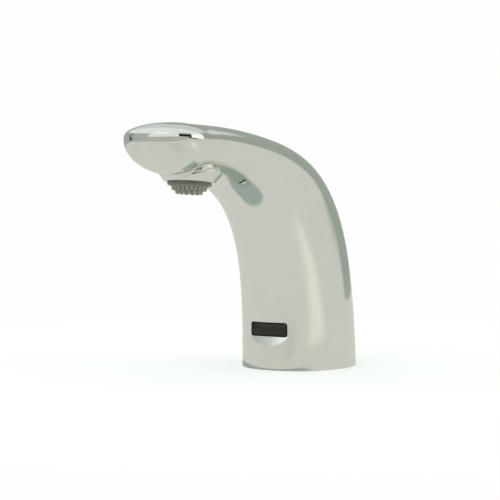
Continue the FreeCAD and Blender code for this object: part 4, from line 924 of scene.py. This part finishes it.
# ---------------------------------------------------------------- pieces
@dataclass
class Casting:
    """The chromed casting: column, arch, head, outlet boss, foot rim, window hole and scooped sill."""

    form: SpoutForm
    axis: OutletAxis
    row_spacing: float = 2.2
    around: int = 128
    rim_wall: float = 4.0
    rim_edge: float = 0.35
    plate_top: float = 10.0
    window_half: Pair = (12.62, 4.22)
    window_corner: float = 1.8
    window_z: float = 23.6
    window_depth_from: float = -60.0
    window_depth_to: float = -22.0
    sill_z: float = 19.5
    sill_drop: float = 5.6
    sill_depth: float = 0.25
    sill_radius: float = 200.0
    sill_floor: float = 3.0
    sill_step: float = 0.5
    sill_steps: int = 32
    sill_zone: Triple = (1.3, 1.4, 0.1)
    cut_steps: int = 96
    cut_span: Pair = (-10.0, 16.0)
    cut_gap: float = 0.02
    fillet_reach: float = 16.6
    fillet_height: float = 2.0
    fillet_pull: float = 0.55
    fillet_steps: int = 12
    boss_radius: float = 13.8
    boss_flare: float = 0.75
    boss_edge: float = 0.3
    bore: float = 12.0
    seat_radius: float = 14.6
    seat_top: float = 14.0
    piece: Piece | None = None

    def build(self) -> None:
        """Makes the mesh."""
        shell = self._shell()
        normals = self._normals(shell)
        body = finish_mesh(shell, "casting_blank", scale=1.0)
        bm = carved(body, [self._window_tool(), self._sill_tool(), self._outlet_tool()])
        self._add_boss(bm, normals)
        self.piece = finish_mesh(bm, "tap_casting", crisp=self._by_sill)

    def dress(self) -> None:
        """Puts the finish on and hands the piece to the body."""
        self.piece.data.materials.append(CHROME.material())
        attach(self.piece, BODY)
        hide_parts("spout_body")

    def _by_sill(self, point: Vector) -> bool:
        """Tells whether a point lies on the sloped sill or its edge.

        Args:
            point: The point.

        Returns:
            True if it does.
        """
        wide, deep, above = self.sill_zone
        low_z = self.sill_z - deep * self.sill_drop
        across = abs(point.x) < wide * self.window_half[0]
        return point.y < 0 and across and low_z < point.z < self.sill_z + above

    def _shell(self) -> BMesh:
        """Builds the hollow form, closed round the foot, with no holes yet.

        Returns:
            Its mesh, in millimetres.
        """
        bm = bmesh.new()
        outer, tip = self.form.skin(0, 0.0, self.row_spacing, self.around)
        inner, inner_tip = self.form.skin(1, self.plate_top, 3 * self.row_spacing, self.around)
        foot = self.form.section(0.0)
        rim = []
        for wall, z in ((self.rim_edge, 0.0), (self.rim_wall - self.rim_edge, 0.0),
                        (self.rim_wall, self.rim_edge), (self.rim_wall, self.plate_top)):
            section = Section(foot.back, foot.under, foot.half_width, foot.wide_at, foot.squareness, wall)
            row = smooth_round(self.form.outline(section, 1), self.around)
            rim.append([p + Vector((0, 0, z)) for p in row])
        outer[0] = [p + Vector((0, 0, self.rim_edge)) for p in outer[0]]
        rows = [ring(bm, row) for row in outer[::-1] + rim + inner]
        bridge(bm, rows)
        cap(bm, rows[0], tip)
        cap(bm, rows[-1], inner_tip)
        bmesh.ops.recalc_face_normals(bm, faces=bm.faces[:])
        return bm

    def _normals(self, bm: BMesh) -> Callable[[Vector], Vector]:
        """Keeps the skin's outward directions before it is cut.

        Args:
            bm: The whole casting's mesh.

        Returns:
            A function that gives the outward direction near a point.
        """
        bm.normal_update()
        verts = [(v.co.copy(), v.normal.copy()) for v in bm.verts]
        tree = KDTree(len(verts))
        for i, (co, _) in enumerate(verts):
            tree.insert(co, i)
        tree.balance()

        def normal(point: Vector) -> Vector:
            """Reads the skin's outward direction.

            Args:
                point: A place on the skin.

            Returns:
                The direction there.
            """
            near = tree.find_n(point, 4)
            total = sum((verts[i][1] / (gap + 1e-4) for _, i, gap in near), Vector())
            return total.normalized()

        return normal

    def _window_tool(self) -> Piece:
        """Makes the block that cuts the window's hole.

        Returns:
            The block, in millimetres.
        """
        rows = [rounded_rectangle(*self.window_half, self.window_corner, y, self.window_z)
                for y in (self.window_depth_from, self.window_depth_to)]
        return finish_mesh(prism(rows), "window_tool", scale=1.0)

    def _sill_tool(self) -> Piece:
        """Makes the wedge that slopes the sill down and outwards from the window's lower edge.

        Returns:
            The wedge, in millimetres.
        """
        edge_x = self.window_half[0]
        top_y = self.form.front_y(edge_x, self.window_z) + self.sill_depth
        top_y -= edge_x ** 2 / (2 * self.sill_radius)
        low_z = self.sill_z - self.sill_drop
        low_y = self.form.front_y(0, low_z)
        slope = (low_y - top_y) / (low_z - self.sill_z)
        floor_z = low_z - self.sill_floor
        rows = []
        for k in range(-self.sill_steps, self.sill_steps + 1):
            x = k * self.sill_step
            back = x * x / (2 * self.sill_radius)
            profile = [(top_y + back, self.sill_z), (top_y + back + slope * (floor_z - self.sill_z), floor_z),
                       (self.window_depth_from, floor_z), (self.window_depth_from, self.sill_z)]
            rows.append([Vector((x, y, z)) for y, z in profile])
        return finish_mesh(prism(rows), "sill_tool", scale=1.0)

    def _outlet_tool(self) -> Piece:
        """Makes the drum that cuts both skins away round the outlet.

        Returns:
            The drum, in millimetres.
        """
        angles = [2 * math.pi * k / self.cut_steps for k in range(self.cut_steps)]
        rows = [[self.axis.point(a, self.fillet_reach, t) for a in angles] for t in self.cut_span]
        return finish_mesh(prism(rows), "outlet_tool", scale=1.0)

    def _add_boss(self, bm: BMesh, normals: Callable[[Vector], Vector]) -> None:
        """Grows the boss from the hole in the belly to its rim, up the bore and out to the inner skin.

        Args:
            bm: The cut casting.
            normals: Gives the skin's outward direction near a point.
        """
        walls = []
        for face in bm.faces:
            polar = [self.axis.polar(v.co) for v in face.verts]
            if all(abs(radius - self.fillet_reach) < self.cut_gap for _, radius, _ in polar):
                walls.append(face)
        bmesh.ops.delete(bm, geom=walls, context="FACES")
        loose = {e for e in bm.edges if e.is_boundary}
        loops = []
        while loose:
            stack, loop = [loose.pop()], set()
            while stack:
                edge = stack.pop()
                loop.add(edge)
                for vert in edge.verts:
                    for other in vert.link_edges:
                        if other in loose:
                            loose.discard(other)
                            stack.append(other)
            loops.append(list(loop))
        loops.sort(key=lambda loop: min(self.axis.polar(e.verts[0].co)[2] for e in loop))
        outer, inner = loops[0], loops[-1]
        columns = {v: self._column(v.co, normals(v.co)) for e in outer for v in e.verts}
        count = len(next(iter(columns.values())))
        edges = outer
        for k in range(count):
            grown = bmesh.ops.extrude_edge_only(bm, edges=edges)["geom"]
            verts = [g for g in grown if isinstance(g, Vert)]
            edges = [g for g in grown if isinstance(g, Edge)]
            fresh = {}
            for vert in verts:
                parent = next(e.other_vert(vert) for e in vert.link_edges if e.other_vert(vert) in columns)
                fresh[vert] = columns[parent]
            for vert, column in fresh.items():
                vert.co = column[k]
            columns = fresh
        bmesh.ops.bridge_loops(bm, edges=edges + inner)

    def _column(self, start: Vector, normal: Vector) -> list[Vector]:
        """Lays one line of points from the belly, round the boss and up its bore.

        Args:
            start: Where the line leaves the belly.
            normal: The skin's outward direction there.

        Returns:
            The points, in order.
        """
        angle, _, t = self.axis.polar(start)
        inward = (self.axis.point(angle, 0, 0) - self.axis.point(angle, 1, 0)).normalized()
        up = (self.axis.point(angle, 0, 1) - self.axis.point(angle, 0, 0)).normalized()
        leave = (inward - normal * inward.dot(normal)).normalized()
        foot_t = max(t - self.fillet_height, self.boss_edge)
        end = self.axis.point(angle, self.boss_radius + self.boss_flare * foot_t, foot_t)
        arrive = -(up - inward * self.boss_flare).normalized()
        pull = (end - start).length * self.fillet_pull
        poles = (start, start + leave * pull, end - arrive * pull, end)
        points = []
        for k in range(1, self.fillet_steps + 1):
            u = k / self.fillet_steps
            basis = ((1 - u) ** 3, 3 * u * (1 - u) ** 2, 3 * u * u * (1 - u), u ** 3)
            points.append(sum((p * b for p, b in zip(poles, basis)), Vector()))
        edge = self.boss_edge
        if foot_t > edge + 0.2:
            half_way = (foot_t + edge) / 2
            radius = self.boss_radius + self.boss_flare * (foot_t + edge) / 2
            points.append(self.axis.point(angle, radius, half_way))
        else:
            radius = self.boss_radius + self.boss_flare * edge * 0.9
            points.append(self.axis.point(angle, radius, edge * 0.9))
        rest = [(self.boss_radius, edge * 0.75), (self.boss_radius - edge * BEVEL, edge * 0.25),
                (self.boss_radius - edge, 0.0), (self.bore + edge, 0.0),
                (self.bore + edge * BEVEL, edge * BEVEL), (self.bore, edge),
                (self.bore, self.seat_top), (self.seat_radius, self.seat_top)]
        return points + [self.axis.point(angle, r, height) for r, height in rest]


@dataclass
class OutletInsert:
    """The dark collar in the boss and the rubber spray disc that it holds."""

    axis: OutletAxis
    collar_radius: float = 11.9
    collar_bore: float = 10.9
    collar_length: float = 8.0
    lip: float = 1.9
    lip_bore: float = 9.95
    lip_floor: float = -0.4
    flange_radius: float = 10.85
    flange_top: float = 1.6
    plate_radius: float = 9.9
    plate_drop: float = 2.2
    step_radius: float = 7.8
    step_drop: float = 3.8
    nub_root: float = 1.05
    nub_tip: float = 0.8
    nub_bore: float = 0.42
    nub_rings: tuple[tuple[int, float, float, float], ...] = (
        (24, 8.75, 2.2, 4.3), (13, 6.55, 3.8, 6.3), (7, 3.7, 3.8, 6.3), (1, 0.0, 3.8, 6.3))
    pieces: list[Piece] = field(default_factory=list)

    def build(self) -> None:
        """Makes both meshes."""
        self.pieces = [self._collar(), self._disc()]

    def dress(self) -> None:
        """Puts the finishes on and hands the pieces to the body."""
        nodes, slots = ("outlet_collar", "spray_disc"), ("dark_collar", "spray_rubber")
        for piece, node, slot in zip(self.pieces, nodes, slots):
            piece.data.materials.append(SLOT_FINISHES[slot].material())
            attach(piece, BODY)
            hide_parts(node)

    def _collar(self) -> Piece:
        """Turns the ring, with rounded edges on its lip.

        Returns:
            The ring.
        """
        bm = bmesh.new()
        profile = [(self.lip_bore, self.lip_floor), (self.lip_bore, -self.lip),
                   (self.collar_radius, -self.lip), (self.collar_radius, self.collar_length),
                   (self.collar_bore, self.collar_length), (self.collar_bore, self.lip_floor)]
        lathe(bm, rounded(profile, (0.0, 0.3, 0.7, 0.2, 0.2, 0.0), 4), 128)
        bmesh.ops.transform(bm, matrix=self.axis.matrix(), verts=bm.verts[:])
        return finish_mesh(bm, "outlet_ring")

    def _disc(self) -> Piece:
        """Turns the stepped disc and its nozzles.

        Returns:
            The disc.
        """
        bm = bmesh.new()
        profile = [(0.0, self.flange_top), (self.flange_radius, self.flange_top),
                   (self.flange_radius, self.lip_floor), (self.plate_radius, self.lip_floor),
                   (self.plate_radius, -self.plate_drop), (self.step_radius, -self.plate_drop),
                   (self.step_radius, -self.step_drop), (0.0, -self.step_drop)]
        lathe(bm, rounded(profile, (0.0, 0.2, 0.1, 0.1, 0.35, 0.4, 0.45, 0.0), 4), 128)
        for count, circle, root, drop in self.nub_rings:
            nub = [(0.0, 0.4 - root), (self.nub_root + 0.3, 0.15 - root),
                   (self.nub_root + 0.12, -root - 0.06), (self.nub_root, -root - 0.3),
                   (self.nub_tip, 0.2 - drop), (self.nub_tip - 0.06, 0.06 - drop),
                   (self.nub_tip - 0.18, -drop), (self.nub_bore, -drop),
                   (self.nub_bore - 0.06, 1.2 - drop), (0.0, 1.2 - drop)]
            for k in range(count):
                angle = 2 * math.pi * k / count
                lathe(bm, nub, 20, (circle * math.cos(angle), circle * math.sin(angle)))
        bmesh.ops.transform(bm, matrix=self.axis.matrix(), verts=bm.verts[:])
        return finish_mesh(bm, "spray_face")


@dataclass
class SensorWindow:
    """The dark window, with a fine rounded edge and its hidden flange."""

    half: Pair = (12.5, 4.1)
    corner: float = 1.8
    z: float = 23.6
    face_y: float = -32.54
    flange_y: float = -26.94
    back_y: float = -25.44
    flange: float = 1.9
    border: float = 0.75
    step: float = 0.35
    piece: Piece | None = None

    def build(self) -> None:
        """Makes the mesh."""
        wide, high = self.half
        rows = []
        for inset, y in ((self.border + 0.15, self.face_y), (self.border + 0.04, self.face_y + 0.04),
                         (self.border, self.face_y + 0.15), (self.border, self.face_y + self.step),
                         (0.1, self.face_y + self.step), (0.0, self.face_y + self.step + 0.1),
                         (0.0, self.flange_y), (-self.flange, self.flange_y), (-self.flange, self.back_y)):
            corner = self.corner - min(max(inset, 0.0), 1.0)
            rows.append(rounded_rectangle(wide - inset, high - inset, corner, y, self.z))
        self.piece = finish_mesh(prism(rows), "infrared_window", sharp=50.0)

    def dress(self) -> None:
        """Puts the finish on and hands the piece to the body."""
        for finish in (WINDOW, BORDER_SHADE):
            self.piece.data.materials.append(finish.material())
        limit = (self.face_y + 0.2) * MM
        mesh = self.piece.data
        # Pane faces get the window's finish; every other face, the raised border among them, gets the black
        # painted shade.
        for face in mesh.polygons:
            pane = all(mesh.vertices[v].co.y < limit for v in face.vertices)
            face.material_index = 0 if pane else 1
        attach(self.piece, BODY)
        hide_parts("sensor_window")


@dataclass
class InnerWorks:
    """Every CAD node that keeps its shape: foot plate, valve, solenoid, riser and sensor."""

    nodes: dict[str, Piece]
    slots: dict[str, str]

    def dress(self) -> None:
        """Gives each node the finish of its record slot."""
        for name, node in self.nodes.items():
            finish = SLOT_FINISHES[self.slots[name]]
            for place in node.material_slots:
                place.material = finish.material()
            if not node.material_slots:
                node.data.materials.append(finish.material())
            LOG.info("finish %s on %s", finish.name, name)


# ---------------------------------------------------------------- studio
@dataclass(frozen=True)
class Glow:
    """A soft-edged patch of the light tent, by direction.

    Bearings run from the front towards +X and heights up from level, all in degrees.
    """

    bearing: float
    half_bearing: float
    low: float
    high: float
    colour: Colour
    soft_bearing: float = 8.0
    soft_height: float = 4.0


@dataclass
class Studio:
    """Pale floor, a light tent with soft light and dark places, and the camera at the photograph's angle."""

    bearing: float = 32.76
    distance: float = 853.4
    eye_height: float = 89.6
    aim: Triple = (-25.0, -16.1, 69.1)
    focal_pixels: float = 1422.0
    frame_pixels: float = 500.0
    chrome_share: float = 0.84
    # Tones the table glows with for every ray but the camera's; table_bright and table_dim are a painted pool
    # of light and a painted dim pool on that glow.
    table_tone: Colour = (197, 197, 190)
    table_bright: Colour = (217, 217, 209)
    table_dim: Colour = (187, 188, 181)
    table_left: float = -1120.0
    table_right: float = 1400.0
    table_front: float = -560.0
    table_back: float = 2500.0
    # Reach, fade and bearings of the painted bright pool and the painted dim pool on the table's glow.
    pool_reach: Pair = (150.0, 280.0)
    pool_fade: Pair = (380.0, 480.0)
    bright_pool: Triple = (72.0, 5.0, 28.0)
    dim_pool: Triple = (12.0, 4.0, 20.0)
    # Painted shadow of the tap on the table's glow beside the foot: its tone, reach, centre and bearing
    # spread.
    shade_tone: Colour = (150, 160, 153)
    shade_reach: Pair = (52.0, 61.0)
    shade_y: float = -6.0
    shade_bearing: float = -40.0
    shade_spread: Pair = (75.0, 95.0)
    # A screen that glows with a painted tone for every ray but the camera's, which does not see it.
    screen_radius: float = 410.0
    screen_height: float = 108.0
    screen_start: float = 98.0
    screen_turn: float = 39.0
    screen_wall: float = 4.0
    screen_tone: Colour = (196, 196, 189)
    paper_tones: tuple[Colour, Colour] = ((234, 234, 233), (237, 237, 236))
    paper_glow: float = 0.4
    beyond_tone: Colour = (168, 172, 166)
    backdrop_tone: Colour = (254, 254, 254)
    shadow_reach: Pair = (90.0, 420.0)
    high_tone: Colour = (218, 224, 220)
    glows: tuple[Glow, ...] = (
        Glow(-165, 52, 6, 76, (194, 201, 198), 16, 10),
        Glow(-97, 40, -8, 27, (156, 161, 156), 12, 8),
        Glow(-47, 12, -5, 28, (162, 168, 162), 8, 8),
        Glow(-18, 16, 18, 42, (240, 243, 240), 10, 12),
        Glow(-8, 28, 0, 20, (216, 221, 217), 6, 3),
        Glow(53, 28, 13, 29, (110, 114, 106), 6, 8),
        Glow(53, 27, 0.5, 14, (26, 27, 22), 3, 2),
        Glow(75, 5, -6.5, 2, (30, 30, 26), 3, 2),
        Glow(106, 31.5, -6.0, -1.5, (84, 88, 84), 2, 2),
        Glow(110.5, 27, -1, 19, (250, 251, 247), 3, 6),
        Glow(179.5, 42, -2, 34, (150, 157, 149), 2, 6),
        Glow(179.5, 42, -12, -2, (197, 197, 190), 2, 1),
        Glow(145, 9, -12, 3, (197, 197, 190), 7, 3),
        Glow(-75, 4, 0, 28, (122, 128, 121), 5, 6),
        Glow(-72, 3, -4, 2, (35, 36, 34), 3, 3),
    )

    def build(self) -> None:
        """Makes the floor, the low screen, the world and the camera."""
        self._floor()
        self._screen()
        self._world()
        self._camera()
        bpy.context.scene.view_settings.view_transform = "Standard"

    def _split(self, shader: Shader, lit: Wire, shown: Wire) -> Wire:
        """Gives the camera one look and every other ray another.

        Args:
            shader: The tree that is being built.
            lit: What lights the tap and shows in it.
            shown: What the camera sees.

        Returns:
            The two together.
        """
        seen = shader.node("ShaderNodeLightPath", out="Is Camera Ray")
        return shader.node("ShaderNodeMixShader", {0: seen, 1: lit, 2: shown})

    def _axes(self, shader: Shader, where: Wire) -> list[Wire]:
        """The three parts of a vector."""
        split = shader.node("ShaderNodeSeparateXYZ", {0: where}).socket.node
        return [Wire(shader, out) for out in split.outputs]

    def _lit(self, tone: Colour) -> Colour:
        """Light that shows as a tone in the chrome."""
        return tuple(value / self.chrome_share for value in linear(*tone))

    def _world(self) -> None:
        """The tent: a white backdrop for the camera, soft zones for everything else."""
        world = bpy.data.worlds.new("tent")
        bpy.context.scene.world = world
        shader = own_shader(world)
        x, y, z = self._axes(shader, shader.node("ShaderNodeTexCoord", out="Generated"))
        bearing = x.maths("ARCTAN2", y * -1.0) * (180 / math.pi)
        height = z.maths("ARCSINE") * (180 / math.pi)
        tone = shader.blend(height.ease(-1.5, 1.5), self._lit(self.beyond_tone), self._lit(self.high_tone))
        for glow in self.glows:
            side, level = glow.soft_bearing / 2, glow.soft_height / 2
            off = (bearing - glow.bearing).wrap(-180.0, 180.0).size()
            across = off.ease(glow.half_bearing - side, glow.half_bearing + side, 1.0, 0.0)
            upper = height.ease(glow.high - level, glow.high + level, 1.0, 0.0)
            lower = height.ease(glow.low - level, glow.low + level)
            tone = shader.blend(across * upper * lower, tone, self._lit(glow.colour))
        tent = shader.node("ShaderNodeBackground", {"Color": tone})
        plain = shader.node("ShaderNodeBackground", {"Color": (*linear(*self.backdrop_tone), 1.0)})
        shader.node("ShaderNodeOutputWorld", {"Surface": self._split(shader, tent, plain)})

    def _floor(self) -> None:
        """A pale table that shows white to the camera and keeps its real soft shadow; to every other ray it
        glows with a painted table tone, a painted pool of light, a painted dim pool and a painted shadow
        beside the foot.
        """
        bm = bmesh.new()
        wide, deep = self.table_right - self.table_left, self.table_back - self.table_front
        middle = ((self.table_left + self.table_right) / 2, (self.table_front + self.table_back) / 2, 0)
        bmesh.ops.create_grid(bm, x_segments=8, y_segments=8, size=0.5,
                              matrix=Matrix.Translation(middle) @ Matrix.Diagonal((wide, deep, 1, 1)))
        floor = finish_mesh(bm, "floor")
        made = bpy.data.materials.new("table_pale_with_painted_light")
        shader = own_shader(made)
        where = shader.place()
        x, y, _ = self._axes(shader, where)
        away = (x * x + y * y).maths("SQRT") * (1 / MM)
        far = away.ease(*self.pool_reach) * away.ease(*self.pool_fade, 1.0, 0.0)
        bearing = x.maths("ARCTAN2", y * -1.0) * (180 / math.pi)
        # Glow for every ray but the camera's: an even table tone with a painted bright pool and a painted dim
        # pool of light on it.
        lit: Wire | Colour = self._lit(self.table_tone)
        for (middle_bearing, full, faded), tone in ((self.bright_pool, self.table_bright),
                                                    (self.dim_pool, self.table_dim)):
            pool = (bearing - middle_bearing).size().ease(full, faded, 1.0, 0.0) * far
            lit = shader.blend(pool, lit, self._lit(tone))
        # Painted shadow of the tap: the glow turns to a darker tone in a patch beside the foot, fading with
        # distance and bearing.
        below = y - self.shade_y * MM
        shaded = ((x * x + below * below).maths("SQRT") * (1 / MM)).ease(*self.shade_reach, 1.0, 0.0)
        shaded = shaded * (bearing - self.shade_bearing).size().ease(*self.shade_spread, 1.0, 0.0)
        lit = shader.blend(shaded, lit, self._lit(self.shade_tone))
        grain = shader.noise(where, 3.0).ease(0.3, 0.7)
        paper = shader.blend(grain, *(linear(*tone) for tone in self.paper_tones))
        glowing = shader.node("ShaderNodeEmission", {"Color": lit})
        near = shader.node("ShaderNodeBsdfPrincipled", {"Base Color": paper, "Roughness": 0.9,
                                                        "Specular IOR Level": 0.0,
                                                        "Emission Color": (1.0, 1.0, 1.0, 1.0),
                                                        "Emission Strength": self.paper_glow})
        plain = shader.node("ShaderNodeEmission", {"Color": (*linear(*self.backdrop_tone), 1.0)})
        pale = shader.node("ShaderNodeMixShader", {0: away.ease(*self.shadow_reach), 1: near, 2: plain})
        shader.node("ShaderNodeOutputMaterial", {"Surface": self._split(shader, glowing, pale)})
        floor.data.materials.append(made)

    def _screen(self) -> None:
        """A low curved screen that stands behind the tap on its right, out of the picture; the camera does
        not see it, and every other ray sees it glow with a painted tone.
        """
        bm = bmesh.new()
        start = math.radians(self.screen_start)
        near, far = self.screen_radius, self.screen_radius + self.screen_wall
        profile = ((near, 0), (far, 0), (far, self.screen_height), (near, self.screen_height))
        verts = [bm.verts.new((r * math.sin(start), -r * math.cos(start), z)) for r, z in profile]
        edges = [bm.edges.new((verts[k - 1], verts[k])) for k in range(4)]
        bmesh.ops.spin(bm, geom=verts + edges, cent=(0, 0, 0), axis=(0, 0, 1),
                       angle=math.radians(self.screen_turn), steps=32)
        bmesh.ops.holes_fill(bm, edges=[e for e in bm.edges if e.is_boundary], sides=4)
        screen = finish_mesh(bm, "screen")
        made = bpy.data.materials.new("screen_glowing")
        shader = own_shader(made)
        grain = shader.noise(shader.place(), 4.0)
        tone = shader.blend(grain, self._lit(self.table_tone), self._lit(self.screen_tone))
        glowing = shader.node("ShaderNodeEmission", {"Color": tone})
        unseen = shader.node("ShaderNodeBsdfTransparent")
        shader.node("ShaderNodeOutputMaterial", {"Surface": self._split(shader, glowing, unseen)})
        screen.data.materials.append(made)

    def _camera(self) -> None:
        """The camera, where the photograph was taken from."""
        turn = math.radians(self.bearing)
        eye = Vector((self.distance * math.sin(turn), -self.distance * math.cos(turn), self.eye_height)) * MM
        data = bpy.data.cameras.new("camera")
        data.sensor_width = 36.0
        data.lens = self.focal_pixels / self.frame_pixels * data.sensor_width
        data.clip_start, data.clip_end = 0.01, 20.0
        camera = bpy.data.objects.new("camera", data)
        bpy.context.scene.collection.objects.link(camera)
        camera.location = eye
        camera.rotation_euler = (Vector(self.aim) * MM - eye).to_track_quat("-Z", "Y").to_euler()
        bpy.context.scene.camera = camera


def main() -> None:
    """Builds the whole scene."""
    logging.basicConfig(level=logging.INFO, format="%(message)s")
    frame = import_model()
    slots = {part["node"]: part["material_slot"] for part in frame["record"]["subparts"]}
    InnerWorks(frame["nodes"], slots).dress()
    axis = OutletAxis()
    for assembly in (Casting(SpoutForm(), axis), OutletInsert(axis), SensorWindow()):
        assembly.build()
        assembly.dress()
        LOG.info("built %s", type(assembly).__name__)
    Studio().build()


if __name__ == "__main__":
    main()
